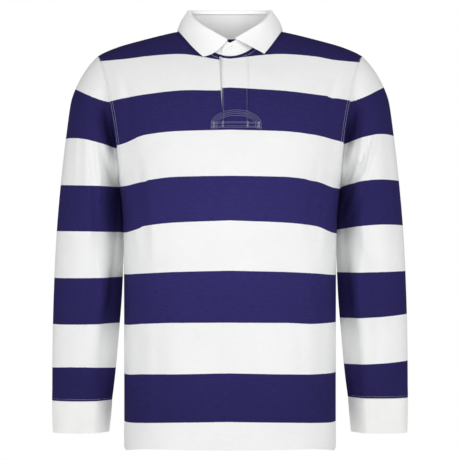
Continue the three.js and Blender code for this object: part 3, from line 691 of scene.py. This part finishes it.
def body_panel(side):
    rows = panel_rows(side)
    columns = panel_columns()
    slit = next(j for j, (x, share) in enumerate(columns) if x == PLACKET_EDGE_X and share == 0)
    name = "front" if side < 0 else "back"

    def place(i, j):
        point = panel_point(rows[i], side, *columns[j])
        edge = rows[i]["edge"]
        away = (Vector((abs(point.x), point.y, point.z)) - edge).length
        # The cloth dips along the seams, and at the hem's row of stitching.
        dip = seam_dip(away) if rows[i]["kind"] != "side" or edge.z > VENT_TOP_Z else 0
        if edge.z < VENT_TOP_Z:
            dip += HEM_DIP * bell(edge.z - HEM_ROW_Z, 2)
        return point + Vector((0, -side * dip, 0)) if away > 0 else point
    points, faces, wide = grid(len(rows) - 1, len(columns) - 1, place, flip=side > 0)
    if side < 0:
        # Above its lower end the slit has an edge of its own on either side, and opens towards the neck.
        first = len(rows) - 1
        while rows[first]["middle_z"] > SLIT_BOTTOM_Z:
            first -= 1
        for i in range(first + 1, len(rows)):
            share = (i - first) / (len(rows) - 1 - first)
            old = i * wide + slit
            points.append(panel_point(rows[i], side, PLACKET_EDGE_X + 1.5))
            points[old] = panel_point(rows[i], side, PLACKET_EDGE_X - 0.3 - SLIT_TOP_GAP * share)
            right = len(points) - 1
            faces = [tuple(right if k == old else k for k in face)
                     if any(k < len(rows) * wide and k % wide == slit + 1 for k in face) else face
                     for face in faces]
    hoops = []
    for p in points:
        # Beside the slit the front hangs a little lower, so its hoops don't quite meet those of the strip.
        beside = smooth((PLACKET_EDGE_X + 1 - p.x) / 1.5) * smooth((p.x + 88) / 75) * smooth((p.z + 150) / 30)
        hang_down = 3.8 * beside + step_down(p.x, p.z) if side < 0 else 0
        hoops.append(body_hoops(p.x, p.z + hang_down, side))
    flat = []
    for p in points:
        # Round the body the cloth is longer than it looks from the front.
        girth = copysign(asin(min(abs(p.x) / GIRTH_RADIUS, 1)) * GIRTH_RADIUS, p.x)
        flat.append((girth * MM, p.z * MM))

    def trim(i, step):
        row, column = divmod(i, wide)
        if i < len(rows) * wide and rows[row]["seam"] and column in (0, wide - 1):
            step.y = 0
        return step
    return cloth(name + "_cloth", points, faces, JERSEY, hoops, flat, trim)


def strip(name, from_x, to_x, bottom_z, out, columns, rows, rounded=0.0):
    """A strip on the front panel from the neckline down, a distance out from the panel."""
    def place(i, j):
        x = mix(from_x, to_x, j / columns)
        top_z = neckline(asin(x / NECK_HALF_WIDTH)).z - 1.8
        z = mix(bottom_z, top_z, i / rows)
        slope = (body_y(x, z + 1, -1) - body_y(x, z - 1, -1)) / 2
        normal = Vector((0, -1, slope)).normalized()
        across = min(j, columns - j) / columns * abs(to_x - from_x)
        soft = rounded * (smooth(across / 2.5) - 1)
        folds = fold_rise(FRONT_FOLDS, "xz", x, z)
        return Vector((x, body_y(x, z, -1) - folds, z)) + normal * (out + soft)
    points, faces, _ = grid(rows, columns, place)
    hoops = [body_hoops(p.x, p.z, -1) for p in points]
    flat = [(p.x * MM, p.z * MM) for p in points]
    return cloth(name, points, faces, PLACKET_JERSEY, hoops, flat)


def sleeve_piece(name, side, folds, levels):
    rows, columns = 110, 104
    last = SLEEVE_RINGS[-1]["at"]

    def place(i, j):
        return sleeve_point(last * (i / rows), j / columns, folds, side)
    points, faces, _ = grid(rows, columns, place, closed=True, flip=side < 0)
    hoops = [sleeve_hoops(levels, index % columns / columns, point.z) for index, point in enumerate(points)]

    def trim(i, step):
        if i < columns and step.x * side < 0:
            step.x = 0
        return step
    return cloth(name, points, faces, JERSEY, hoops, round_flat(points, columns), trim)


def cuff_place(side, share, round_share, puff):
    last = SLEEVE_RINGS[-1]
    turn = 2 * pi * round_share
    top_x, under_x = mix(last["top_x"], CUFF["top_x"], share), mix(last["under_x"], CUFF["under_x"], share)
    depth = mix(last["half_depth"], CUFF["half_depth"], share)
    forward = mix(last["forward"], CUFF["forward"], share)
    z = mix(last["top_z"] - SEAM_GAP, CUFF["bottom_z"], share)
    if side < 0:
        z -= RIGHT_CUFF_DROP * (1 - share)
    ahead, back = beside_body(cos(turn), sin(turn), last["at"])
    across = Vector((cos(turn) * (top_x - under_x) / 2, -ahead * depth, 0))
    across += across.normalized() * puff + Vector((0, back, 0))
    return Vector((side * ((top_x + under_x) / 2 + across.x), -forward + across.y, z))


def cuff_piece(name, side):
    rows, columns = 22, 96

    def place(i, j):
        share = i / rows
        turn = 2 * pi * j / columns
        ripple = 0.55 * sin(turn * 9 + 1.3 * sin(turn * 4) + side)
        ripple *= 0.4 + 0.6 * sin(pi * share)
        edge = 0.5 * (smooth(share / 0.08) - 1) + 0.5 * (smooth((1 - share) / 0.06) - 1)
        return cuff_place(side, share, j / columns, ripple + edge)
    points, faces, _ = grid(rows, columns, place, closed=True, flip=side < 0)
    return cloth(name, points, faces, JERSEY, None, round_flat(points, columns))


def stand_piece():
    rows, columns = 12, 150

    def place(i, j):
        # Columns are closer together at the rounded end.
        share = j / columns
        degrees_round = mix(STAND["from_turn"], STAND["to_turn"], share ** 1.25)
        up = i / rows
        free = smooth((LEAF["from_turn"] + 1 - degrees_round) / 2)
        soft = 0.35 * (smooth((1 - up) / 0.12) - 1) * free
        turn = radians(degrees_round)
        wave = 0.25 * sin(degrees_round * 0.21) * sin(pi * up)
        wave -= 0.6 * sin(pi * up) * smooth(-cos(turn) * 1.6)
        return stand_point(degrees_round, up) + outwards(turn) * (soft + wave)
    points, faces, _ = grid(rows, columns, place)
    flat = [((i % (columns + 1)) * 2.7 * MM, p.z * MM) for i, p in enumerate(points)]

    def trim(i, step):
        if i <= columns:
            step.z = max(step.z, 0)
        return step
    return cloth("collar_stand_cloth", points, faces, TWILL, None, flat, trim)


def leaf_wave(degrees_round, share):
    """Slight give of the double cloth, at a share of the way down the fall."""
    return 0.5 * sin(degrees_round * 0.13 + 1.1) * sin(pi * share)


def leaf_piece():
    rows, columns = LEAF_TURNED + LEAF_FALL, 170

    def place(i, j):
        degrees_round = mix(LEAF["from_turn"], LEAF["to_turn"], j / columns)
        point = leaf_place(i, degrees_round)
        out = outwards(radians(degrees_round))
        share = clamp01((i - LEAF_TURNED) / LEAF_FALL)
        wave = leaf_wave(degrees_round, share)
        # The soft ridge inside the edge stitching
        ridge = 0.25 * bell((1 - share) * 38 - 6.5, 2.2)
        edge = 0.3 * (smooth((1 - share) / 0.045) - 1)
        return point + out * (wave + ridge + edge)
    points, faces, _ = grid(rows, columns, place)
    flat = [((i % (columns + 1)) * 2.6 * MM, (i // (columns + 1)) * 1.5 * MM) for i in range(len(points))]
    return cloth("collar_leaf_cloth", points, faces, TWILL, None, flat)


# Stitching

def one_stitch():
    """One stitch of thread as it shows: a low bead, thicker in its middle, lying along X."""
    rings, around = 5, 6
    points = [Vector((0.5, 0, 0))]
    for ring in range(1, rings):
        along, out = 0.5 * cos(pi * ring / rings), 0.5 * sin(pi * ring / rings)
        turns = [2 * pi * k / around for k in range(around)]
        points += [Vector((along, out * cos(turn), -out * sin(turn))) for turn in turns]
    points.append(Vector((-0.5, 0, 0)))
    faces = []
    for k in range(around):
        here, after = 1 + k, 1 + (k + 1) % around
        faces.append((0, after, here))
        for ring in range(rings - 2):
            faces.append((here, after, after + around, here + around))
            here, after = here + around, after + around
        faces.append((here, after, len(points) - 1))
    return points, faces


BEAD = one_stitch()


def stitches(name, runs, material, pitch=3.0, length=2.2, width=0.55, proud=0.18):
    """Rows of stitches on one mesh. A run is a list of (place, direction away from the cloth)."""
    vertices, faces = [], []
    for run in runs:
        lengths = lengths_along([place for place, _ in run])
        count = max(int(lengths[-1] / pitch), 1)
        targets = ((step + 0.5) * lengths[-1] / count for step in range(count))
        for i, share in pieces_at(lengths, targets):
            place = run[i - 1][0].lerp(run[i][0], share)
            up = run[i - 1][1].lerp(run[i][1], share).normalized()
            along = (run[i][0] - run[i - 1][0]).normalized()
            beside = up.cross(along).normalized()
            along = beside.cross(up)
            first = len(vertices)
            for v in BEAD[0]:
                bow = proud - 0.30 * (2 * v.x) ** 2
                level = place + along * (v.x * length) + beside * (v.y * width)
                vertices.append(level + up * (v.z * width + bow))
            faces += [tuple(k + first for k in face) for face in BEAD[1]]
    mesh = bpy.data.meshes.new(name)
    mesh.from_pydata([(v * MM)[:] for v in vertices], [], faces)
    mesh.polygons.foreach_set("use_smooth", [True] * len(mesh.polygons))
    piece = new_object(name, mesh)
    piece.data.materials.append(material)
    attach(piece, "root")


def on_front(x, z, out=0.0):
    """A place on the front's cloth, a distance out from it, with the direction away from the cloth."""
    def surface(px, pz):
        return Vector((px, body_y(px, pz, -1) - fold_rise(FRONT_FOLDS, "xz", px, pz), pz))
    centre = surface(x, z)
    up = (surface(x, z + 1) - surface(x, z - 1)).cross(surface(x + 1, z) - surface(x - 1, z)).normalized()
    if up.y > 0:
        up = -up
    return centre + up * out, up


def side_row(side, z):
    """A row of a body panel at a height below the armpit."""
    rows = panel_rows(side)
    below = max((row for row in rows if row["kind"] == "side" and row["edge"].z <= z),
                key=lambda row: row["edge"].z)
    share = (z - HEM_Z) / (ARMPIT_Z - HEM_Z)
    middle = FRONT_ROW_Z if side < 0 else BACK_ROW_Z
    edge = Vector((body("half_width", z), below["edge"].y, z))
    middle_z = mix(middle["hem"], middle["armpit"], share)
    return dict(edge=edge, middle_z=middle_z, bow=mix(8, 4, share), kind="side")


def near_edge(row, side, sign, distance):
    """A point of a panel's row, that distance in from the panel's edge, with the dip of the seam."""
    edge = Vector((sign * row["edge"].x, row["edge"].y, row["edge"].z))
    low, high = 0.4, 1.0
    for _ in range(24):
        middle = (low + high) / 2
        if (panel_point(row, side, sign * MIDDLE_X[-1], middle) - edge).length > distance:
            low = middle
        else:
            high = middle
    point = panel_point(row, side, sign * MIDDLE_X[-1], low)
    return point + Vector((0, -side * seam_dip(distance), 0))


def facing_run(line, across, side):
    """Stitch line through points of a body panel, with a direction across the line at each point."""
    run = []
    for i, point in enumerate(line):
        along = line[min(i + 1, len(line) - 1)] - line[max(i - 1, 0)]
        up = along.cross(across[i]).normalized()
        run.append((point, -up if up.y * side < 0 else up))
    return run


def beside_vent(row):
    return HEM_Z + 6 < row["edge"].z < VENT_TOP_Z + 8


def edge_run(side, sign, kind, distance, keep=lambda row: True):
    """Stitch line along a kind of edge of a body panel, at a distance in from it."""
    rows = [row for row in panel_rows(side) if row["kind"] == kind and keep(row)]
    line = [near_edge(row, side, sign, distance) for row in rows]
    inner = [near_edge(row, side, sign, distance + 3) for row in rows]
    return facing_run(line, [beside - point for beside, point in zip(inner, line)], side)


def double_rows(side, kind):
    """The two rows of stitches on the body beside its seams of a kind."""
    return [edge_run(side, sign, kind, distance) for sign in (-1, 1) for distance in (2.2, 7.6)]


def row_run(side, z):
    """Stitch line across a body panel at a height."""
    row = side_row(side, z)
    out_share, steps = 0.985, 40
    first, last = MIDDLE_X[0], MIDDLE_X[-1]
    shares = [(first, out_share * (1 - i / steps)) for i in range(steps)]
    shares += [(x, 0) for x in range(first, last + 1, 6)]
    shares += [(last, out_share * (i + 1) / steps) for i in range(steps)]
    line = [panel_point(row, side, x, share) for x, share in shares]
    return facing_run(line, [Vector((0, 0, 1))] * len(line), side)


def walk(places, pace):
    """Places a pace apart on the straight lines between places (x, z), without the last one."""
    for (x, z), (next_x, next_z) in zip(places, places[1:]):
        steps = max(int(hypot(next_x - x, next_z - z) / pace), 1)
        for s in range(steps):
            yield mix(x, next_x, s / steps), mix(z, next_z, s / steps)


def front_run(places, out):
    """Stitch line on the front through places (x, z), straight between them."""
    return [on_front(x, z, out) for x, z in [*walk(places, 4), places[-1]]]


def arch(centre_x, base_z, half_width, height, leg_z):
    """Places along an arch with straight legs."""
    steps = 40
    places = [(centre_x - half_width, leg_z)]
    for i in range(steps + 1):
        around = pi * (1 - i / steps)
        places.append((centre_x + half_width * cos(around), base_z + height * sin(around) ** 0.92))
    return places + [(centre_x + half_width, leg_z)]


def leaf_run(places):
    """Stitch line on the leaf through places (row, degrees round)."""
    run = []
    for row, degrees_round in places:
        point = leaf_place(row, degrees_round)
        down = leaf_place(row + 0.5, degrees_round) - leaf_place(row - 0.5, degrees_round)
        along = leaf_place(row, degrees_round + 0.5) - leaf_place(row, degrees_round - 0.5)
        up = down.cross(along).normalized()
        if up.dot(outwards(radians(degrees_round))) < 0:
            up = -up
        share = clamp01((row - LEAF_TURNED) / LEAF_FALL)
        wave = leaf_wave(degrees_round, share)
        run.append((point + outwards(radians(degrees_round)) * wave + up * 0.1, up))
    return run


def ring_run(side, folds, at):
    """Stitch line round a sleeve."""
    steps = 96
    run = []
    for i in range(steps + 1):
        point = sleeve_point(at, i / steps, folds, side)
        centre = (sleeve_oval(at, 0, 0) + sleeve_oval(at, pi, 0)) / 2
        up = (point - Vector((side * centre.x, centre.y, centre.z))).normalized()
        run.append((point, Vector((up.x, up.y, 0)).normalized()))
    return run


# Finishes

# Width and height of one loop of the jersey, in metres
WALE = 0.0013
COURSE = 0.0010
NAVY = (0.0355, 0.0286, 0.150, 1)
WHITE = (0.915, 0.92, 0.915, 1)


class Finish:
    """A material, with the nodes that its colour and its fine relief are made of."""

    def __init__(self, name, roughness, shine=0.25):
        self.material = bpy.data.materials.new(name)
        self.material.use_nodes = True
        self.nodes, self.links = self.material.node_tree.nodes, self.material.node_tree.links
        self.shader = self.nodes["Principled BSDF"]
        self.shader.inputs["Roughness"].default_value = roughness
        self.shader.inputs["Specular IOR Level"].default_value = shine
        self.place = self.nodes.new("ShaderNodeTexCoord").outputs["Object"]

    def node(self, kind, inputs, **settings):
        """A new node. Each input is set to a value or linked to another node's output."""
        node = self.nodes.new("ShaderNode" + kind)
        for setting, value in settings.items():
            setattr(node, setting, value)
        for socket, value in inputs.items():
            if isinstance(value, bpy.types.NodeSocket):
                self.links.new(value, node.inputs[socket])
            else:
                node.inputs[socket].default_value = value
        return node

    def calc(self, operation, *values):
        return self.node("Math", dict(enumerate(values)), operation=operation).outputs[0]

    def zigzag(self, value, half_period=0.5):
        return self.calc("PINGPONG", value, half_period)

    def noise(self, scale, detail, roughness=0.5, place=None):
        vector = self.place if place is None else place
        inputs = {"Vector": vector, "Scale": scale, "Detail": detail, "Roughness": roughness}
        return self.node("TexNoise", inputs).outputs["Fac"]

    def dye(self, colour):
        node = self.node("RGB", {})
        node.outputs[0].default_value = colour
        return node.outputs[0]

    def tint(self, base, low, high, factor):
        """The base colour, made darker or lighter by a factor from 0 to 1."""
        level = self.node("MapRange", {"Value": factor, "To Min": low, "To Max": high}).outputs["Result"]
        shade = self.node("CombineColor", {"Red": level, "Green": level, "Blue": level}).outputs["Color"]
        inputs = {"Factor": 1.0, "A": base, "B": shade}
        return self.node("Mix", inputs, data_type="RGBA", blend_type="MULTIPLY").outputs["Result"]

    def colour(self, base, *patches):
        """Sets the colour: the base, with patches (darkest, lightest, scale, detail, roughness) of noise."""
        for low, high, *pattern in patches:
            base = self.tint(base, low, high, self.noise(*pattern))
        self.links.new(base, self.shader.inputs["Base Color"])

    def bump(self, height, strength, distance):
        inputs = {"Height": height, "Strength": strength, "Distance": distance}
        self.links.new(self.node("Bump", inputs).outputs["Normal"], self.shader.inputs["Normal"])

    def flat_place(self):
        """The flat place on the cloth, as two numbers in metres."""
        uv = self.node("UVMap", {}, uv_map="cloth").outputs["UV"]
        parts = self.node("SeparateXYZ", {"Vector": uv}).outputs
        return parts["X"], parts["Y"]

    def knit(self, across, along):
        """Height of plain jersey: columns of V-shaped loops."""
        column = self.calc("MULTIPLY", across, 1 / WALE)
        loop = self.zigzag(self.calc("MULTIPLY_ADD", along, 1 / COURSE, self.zigzag(column)))
        valley = self.zigzag(self.calc("ADD", column, 0.25), 0.25)
        return self.calc("ADD", loop, self.calc("MULTIPLY", valley, 1.6))


def hooped_finish():
    """Heavy cotton jersey: loops, uneven yarn and knitted-in hoops, with shade painted in away from the
    middle of the chest.
    """
    finish = Finish("hooped_jersey", 0.95, 0.08)
    across, along = finish.flat_place()
    # Short thick and thin stretches of yarn run with the hoops.
    stretched = finish.node("CombineXYZ", {"X": finish.calc("MULTIPLY", across, 0.17), "Y": along})
    streaks = finish.noise(420, 3, 0.6, stretched.outputs["Vector"])
    # Painted shade: both colours darken with distance from the middle of the chest, the navy most, standing
    # in for the light falling off towards the shoulders, sides, hem and sleeves.
    away = finish.node("VectorMath", {0: finish.place, 1: (0, -0.1, -0.34)}, operation="DISTANCE")
    far = finish.calc("MULTIPLY", away.outputs["Value"], 2.6)
    dyed_and_shaded = []
    # The last number of each is how dark the painted shade makes that colour far from the chest.
    for dye, low, high, painted_shade_level in ((NAVY, 0.66, 1.34, 0.58), (WHITE, 0.96, 1.02, 0.94)):
        streaked = finish.tint(finish.dye(dye), low, high, streaks)
        dyed_and_shaded.append(finish.tint(streaked, 1.0, painted_shade_level, far))
    # A hoop number's whole part is the hoop: even ones are white. The edges are a little ragged.
    hoop = finish.node("Attribute", {}, attribute_name="hoop").outputs["Fac"]
    ragged = finish.calc("MULTIPLY_ADD", finish.noise(700, 2), 0.012, hoop)
    wave = finish.calc("SINE", finish.calc("MULTIPLY", ragged, pi))
    edge = finish.node("MapRange", {"Value": wave, "From Min": 0.005, "From Max": 0.035},
                       interpolation_type="SMOOTHSTEP")
    inputs = {"Factor": edge.outputs["Result"], "A": dyed_and_shaded[0], "B": dyed_and_shaded[1]}
    base = finish.node("Mix", inputs, data_type="RGBA").outputs["Result"]
    finish.colour(base, (0.95, 1.04, 14, 2), (0.90, 1.08, 900, 2, 0.7))
    fuzz = finish.calc("MULTIPLY_ADD", finish.noise(1300, 3, 0.7), 0.6, finish.knit(across, along))
    finish.bump(fuzz, 0.35, 0.0004)
    return finish.material


def ribbed_finish():
    """White cuff cloth with fine ribs along the arm."""
    finish = Finish("white_jersey", 0.95, 0.08)
    across, along = finish.flat_place()
    finish.colour(finish.dye((0.885, 0.892, 0.868, 1)), (0.95, 1.02, 40, 2), (0.93, 1.05, 900, 2, 0.7))
    ribs = finish.zigzag(finish.calc("MULTIPLY", across, 1 / 0.0026))
    finish.bump(finish.calc("MULTIPLY_ADD", ribs, 1.5, finish.knit(across, along)), 0.35, 0.0005)
    return finish.material


def twill_finish():
    """White cotton twill of the collar: fine diagonal lines."""
    finish = Finish("white_twill", 0.85, 0.15)
    across, along = finish.flat_place()
    finish.colour(finish.dye((0.925, 0.925, 0.925, 1)), (0.965, 1.015, 30, 2), (0.95, 1.04, 1400, 2, 0.7))
    lines = finish.zigzag(finish.calc("MULTIPLY", finish.calc("ADD", across, along), 1 / 0.0007))
    threads = finish.zigzag(finish.calc("MULTIPLY", across, 1 / 0.0005))
    finish.bump(finish.calc("MULTIPLY_ADD", threads, 0.5, lines), 0.3, 0.00025)
    return finish.material


def thread_finish(name, colour):
    """Sewing thread with its twist."""
    finish = Finish(name, 0.62)
    fibres = finish.noise(2500, 2, 0.7)
    finish.colour(finish.tint(finish.dye(colour), 0.85, 1.1, fibres))
    finish.bump(fibres, 0.4, 0.0002)
    return finish.material


def button_finish():
    """Satin white rubber with a fine moulded grain."""
    finish = Finish("button_rubber", 0.38)
    finish.colour(finish.dye((0.93, 0.93, 0.92, 1)), (0.94, 1.02, 160, 2))
    finish.bump(finish.noise(1500, 2), 0.15, 0.0001)
    return finish.material


# The pieces and their finishes

hooped_jersey = hooped_finish()
cuff_jersey = ribbed_finish()
collar_twill = twill_finish()
pale_thread = thread_finish("pale_thread", (0.60, 0.59, 0.70, 1))
white_thread = thread_finish("white_thread", (0.88, 0.88, 0.87, 1))

hang(body_panel(-1), "front", hooped_jersey)
hang(body_panel(1), "back", hooped_jersey)
hang(sleeve_piece("sleeve_left_cloth", 1, LEFT_SLEEVE_FOLDS, LEFT_SLEEVE_HOOPS),
     "sleeve_left", hooped_jersey)
hang(sleeve_piece("sleeve_right_cloth", -1, RIGHT_SLEEVE_FOLDS, RIGHT_SLEEVE_HOOPS),
     "sleeve_right", hooped_jersey)
hang(cuff_piece("cuff_left_cloth", 1),
     "cuff_left", cuff_jersey)
hang(cuff_piece("cuff_right_cloth", -1),
     "cuff_right", cuff_jersey)
hang(stand_piece(), "collar_stand", collar_twill)
hang(leaf_piece(), "collar_leaf", collar_twill)
hang(strip("placket_over_cloth", PLACKET_EDGE_X, PLACKET_STITCH_X, PLACKET_BOTTOM_Z, ON_STRIP, 22, 60, 0.5),
     "placket_over", hooped_jersey)
hang(strip("placket_under_cloth", -34, 3, PLACKET_BOTTOM_Z, -2.4, 14, 50),
     "placket_under", collar_twill)

# Two rows on the body beside each armhole, and the hem and the vents, front and back
for side, name in ((-1, "front"), (1, "back")):
    stitches("armhole_stitches_" + name, double_rows(side, "armhole"), pale_thread)
    stitches("hem_stitches_" + name, [row_run(side, HEM_ROW_Z)], white_thread, proud=-0.25)
    vents = [edge_run(side, sign, "side", 10, beside_vent) for sign in (-1, 1)]
    stitches("vent_stitches_" + name, vents, white_thread, proud=0.1)
stitches("shoulder_stitches", double_rows(1, "shoulder"), pale_thread)
for side, name, folds in ((1, "left", LEFT_SLEEVE_FOLDS), (-1, "right", RIGHT_SLEEVE_FOLDS)):
    stitches("cuff_seam_stitches_" + name, [ring_run(side, folds, 8.93)], pale_thread, width=0.5)

# Placket: edge rows, the D-shaped reinforcement with its base, legs and bar tacks
strip_rows = [front_run([(x, top_z), (x, -168)], ON_STRIP)
              for x, top_z in ((PLACKET_EDGE_X + 2.2, -61), (PLACKET_STITCH_X - 2, -52))]
stitches("placket_stitches", strip_rows, pale_thread, length=1.9, width=0.34, proud=0.1)


def over_step(places):
    """Stitch line that climbs from the front onto the placket strip and off it again."""
    run = []
    for x, z in walk(places, 1.5):
        inside = min(x - PLACKET_EDGE_X, PLACKET_STITCH_X - x, z - PLACKET_BOTTOM_Z)
        run.append(on_front(x, z, ON_STRIP * smooth((inside + 1.2) / 1.2)))
    return run


# The D is an arch on two pairs of base rows, with short legs below them.
D_MIDDLE_X = 10.5
D_BASE_Z = -172.5
D_LEG_Z = -184
D_HALF_WIDTH = 42
D_HEIGHT = 24
d_rows = [over_step(arch(D_MIDDLE_X, D_BASE_Z, D_HALF_WIDTH - inset, D_HEIGHT - inset, D_LEG_Z + inset * 0.4))
          for inset in (0, 3.1, 6.2, 9.3)]
for z in (-168.6, -170.6, -175.4, -177.4):
    d_rows.append(over_step([(D_MIDDLE_X - D_HALF_WIDTH - 1, z), (D_MIDDLE_X + D_HALF_WIDTH + 1, z)]))
stitches("reinforcement_stitches", d_rows, pale_thread, pitch=2.6, length=2.1, width=0.42, proud=0.2)
bar_tacks = []
D_TACK_OUT = D_HALF_WIDTH - 4
for x in (D_MIDDLE_X - D_TACK_OUT, PLACKET_EDGE_X + 1, PLACKET_STITCH_X - 1, D_MIDDLE_X + D_TACK_OUT):
    zigzag = [(x + (1.1 if k % 2 else -1.1), -167.5 - 0.55 * k) for k in range(20)]
    bar_tacks.append(over_step(zigzag))
stitches("bar_tack_stitches", bar_tacks, pale_thread, pitch=3.0, length=2.4, width=0.42, proud=0.3)

# Neckline row on the body under the band, and the rows on the collar
neck_row = []
for degrees_round in range(-64, 65, 2):
    turn = radians(degrees_round)
    x = NECK_HALF_WIDTH * 1.035 * sin(turn)
    z = NECK_FRONT_Z * cos(turn) ** 2 - 6.5
    on_strip = PLACKET_EDGE_X < x < PLACKET_STITCH_X
    neck_row.append(on_front(x, z, ON_STRIP if on_strip else 0.05))
stitches("neckline_stitches", [neck_row], white_thread, width=0.5)
inside_edge = LEAF_TURNED + LEAF_FALL * 0.84
leaf_rows = [leaf_run([(inside_edge, d) for d in range(14, 351, 2)])]
for top, low in ((14, 13.2), (350, 350.8)):
    leaf_rows.append(leaf_run([(LEAF_TURNED + r, mix(top, low, r / 22)) for r in range(1, 22)]))
stitches("leaf_stitches", leaf_rows, white_thread, pitch=2.6, length=1.9, width=0.45, proud=0.12)


def band_run(places):
    """Stitch line on the neck band through places (degrees round, share of its height)."""
    out = [outwards(radians(d)) for d, _ in places]
    return [(stand_point(d, up) + away * 0.1, away) for (d, up), away in zip(places, out)]


band_rows = [band_run([(d, 0.12) for d in range(-6, 60, 2)]),
             band_run([(-9.0 + 2.4 * k, 0.12 + 0.74 * sin(k / 6 * pi / 2)) for k in range(7)])]
stitches("band_stitches", band_rows, white_thread, pitch=2.6, length=1.9, width=0.45, proud=0.12)


def make_button():
    """Round four-hole button: turned rim, dished face, drilled holes and soft edges."""
    radius, thickness = BUTTON["radius"] * MM, BUTTON["thickness"] * MM
    bpy.ops.object.select_all(action="DESELECT")
    bpy.ops.mesh.primitive_cylinder_add(vertices=48, radius=radius, depth=thickness,
                                        location=(0, 0, thickness / 2))
    button = bpy.context.object
    button.name = "button_moulded"
    bpy.ops.object.mode_set(mode="EDIT")
    bpy.ops.mesh.select_all(action="DESELECT")
    shape = bmesh.from_edit_mesh(button.data)
    for face in shape.faces:
        face.select_set(face.normal.z > 0.9)
    bmesh.update_edit_mesh(button.data)
    bpy.ops.mesh.inset(thickness=BUTTON["rim"] * MM)
    bpy.ops.mesh.inset(thickness=BUTTON["slope"] * MM)
    bpy.ops.transform.translate(value=(0, 0, -BUTTON["dish"] * MM))
    bpy.ops.mesh.inset(thickness=BUTTON["dish_edge"] * MM)
    bpy.ops.object.mode_set(mode="OBJECT")
    out = BUTTON["hole_offset"] * MM
    for x, y in ((out, out), (-out, out), (-out, -out), (out, -out)):
        bpy.ops.object.select_all(action="DESELECT")
        bpy.ops.mesh.primitive_cylinder_add(vertices=16, radius=BUTTON["hole_radius"] * MM, depth=0.01,
                                            location=(x, y, 0))
        drill = bpy.context.object
        cut = button.modifiers.new("hole", "BOOLEAN")
        cut.operation = "DIFFERENCE"
        cut.solver = "EXACT"
        cut.object = drill
        bpy.context.view_layer.objects.active = button
        bpy.ops.object.modifier_apply(modifier="hole")
        discard(drill)
    soften = button.modifiers.new("soft_edges", "BEVEL")
    soften.width = BUTTON["softness"] * MM
    soften.segments = 3
    soften.limit_method = "ANGLE"
    soften.angle_limit = radians(35)
    bpy.context.view_layer.objects.active = button
    bpy.ops.object.modifier_apply(modifier="soft_edges")
    smooth_with_edges(button, 35)
    return button


turn = radians(BUTTON["turn"])
foot, top = neckline(turn), stand_top(turn)
up_band = (top - foot).normalized()
facing = Vector((1, 0, 0)).cross(up_band).normalized()
across_band = up_band.cross(facing)
seat = foot.lerp(top, BUTTON["height_share"]) + facing * (lap_step(BUTTON["turn"]) + LAY_GAP + 0.2)
button = make_button()
placed = Matrix((across_band, up_band, facing)).transposed().to_4x4()
placed.translation = seat * MM
button.data.transform(placed)
button.data.materials.append(button_finish())
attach(button, "root")
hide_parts("collar_button")
hole = BUTTON["hole_offset"]
face_up = facing * (BUTTON["thickness"] - 0.75)
crosses = []
for ends in (((-hole, -hole), (hole, hole)), ((-hole, hole), (hole, -hole))):
    crosses.append([(seat + across_band * x + up_band * y + face_up, facing) for x, y in ends])
stitches("button_thread", crosses, white_thread, pitch=6, length=4.4, width=0.8, proud=0.35)

# Floor, light and camera

bpy.ops.object.select_all(action="DESELECT")
bpy.ops.mesh.primitive_circle_add(vertices=96, radius=1.7, fill_type="NGON", location=(0, 0, -1.12))
floor = bpy.context.object
floor.name = "studio_floor"
paper = Finish("studio_floor", 0.8)
paper.colour(paper.dye((0.92, 0.92, 0.92, 1)), (0.99, 1.01, 30, 3))
floor.data.materials.append(paper.material)

world = bpy.data.worlds.new("studio")
world.use_nodes = True
sky = world.node_tree.nodes["Background"]
sky.inputs["Color"].default_value = (1, 1, 1, 1)
# The white backdrop is brighter to the eye than the light that it gives.
seen = world.node_tree.nodes.new("ShaderNodeLightPath")
level = world.node_tree.nodes.new("ShaderNodeMapRange")
level.inputs["To Min"].default_value = 0.35
level.inputs["To Max"].default_value = 1.0
world.node_tree.links.new(seen.outputs["Is Camera Ray"], level.inputs["Value"])
world.node_tree.links.new(level.outputs["Result"], sky.inputs["Strength"])
bpy.context.scene.world = world


VIEW_MIDDLE_Z = -0.35


def light(name, kind, place, target, power, **settings):
    data = bpy.data.lights.new(name, kind)
    data.energy = power
    for setting, value in settings.items():
        setattr(data, setting, value)
    lamp = new_object(name, data)
    lamp.location = place
    lamp.rotation_euler = (Vector(target) - Vector(place)).to_track_quat("-Z", "Y").to_euler()
    return lamp


def softbox(name, place, target, width, height, power):
    lamp = light(name, "AREA", place, target, power, shape="RECTANGLE", size=width, size_y=height)
    lamp.visible_camera = False


softbox("front_softbox", (0.0, -3.3, -0.1), (0, 0, -0.25), 1.8, 1.4, 33)
softbox("back_softbox", (0.0, 3.3, 0.1), (0, 0, VIEW_MIDDLE_Z), 1.8, 1.4, 52)
softbox("left_softbox", (-2.5, -2.1, 0.3), (0, 0, VIEW_MIDDLE_Z), 1.0, 1.8, 27)
softbox("right_softbox", (2.5, -2.1, 0.3), (0, 0, VIEW_MIDDLE_Z), 1.0, 1.8, 31)
light("neck_fill", "SPOT", (0.0, -1.3, 0.9), (0, 0.055, -0.005), 58,
      spot_size=radians(6.5), spot_blend=1.0, shadow_soft_size=0.06)

# In metres
CAMERA_AWAY = 3.0
PICTURE_HALF_WIDTH = 0.4025
camera_data = bpy.data.cameras.new("camera")
camera_data.sensor_width = 36
camera_data.lens = camera_data.sensor_width / 2 * CAMERA_AWAY / PICTURE_HALF_WIDTH
camera = new_object("camera", camera_data)
camera.location = (0.0, -CAMERA_AWAY, VIEW_MIDDLE_Z)
camera.rotation_euler = (pi / 2, 0, 0)
bpy.context.scene.camera = camera
bpy.context.scene.view_settings.view_transform = "Standard"
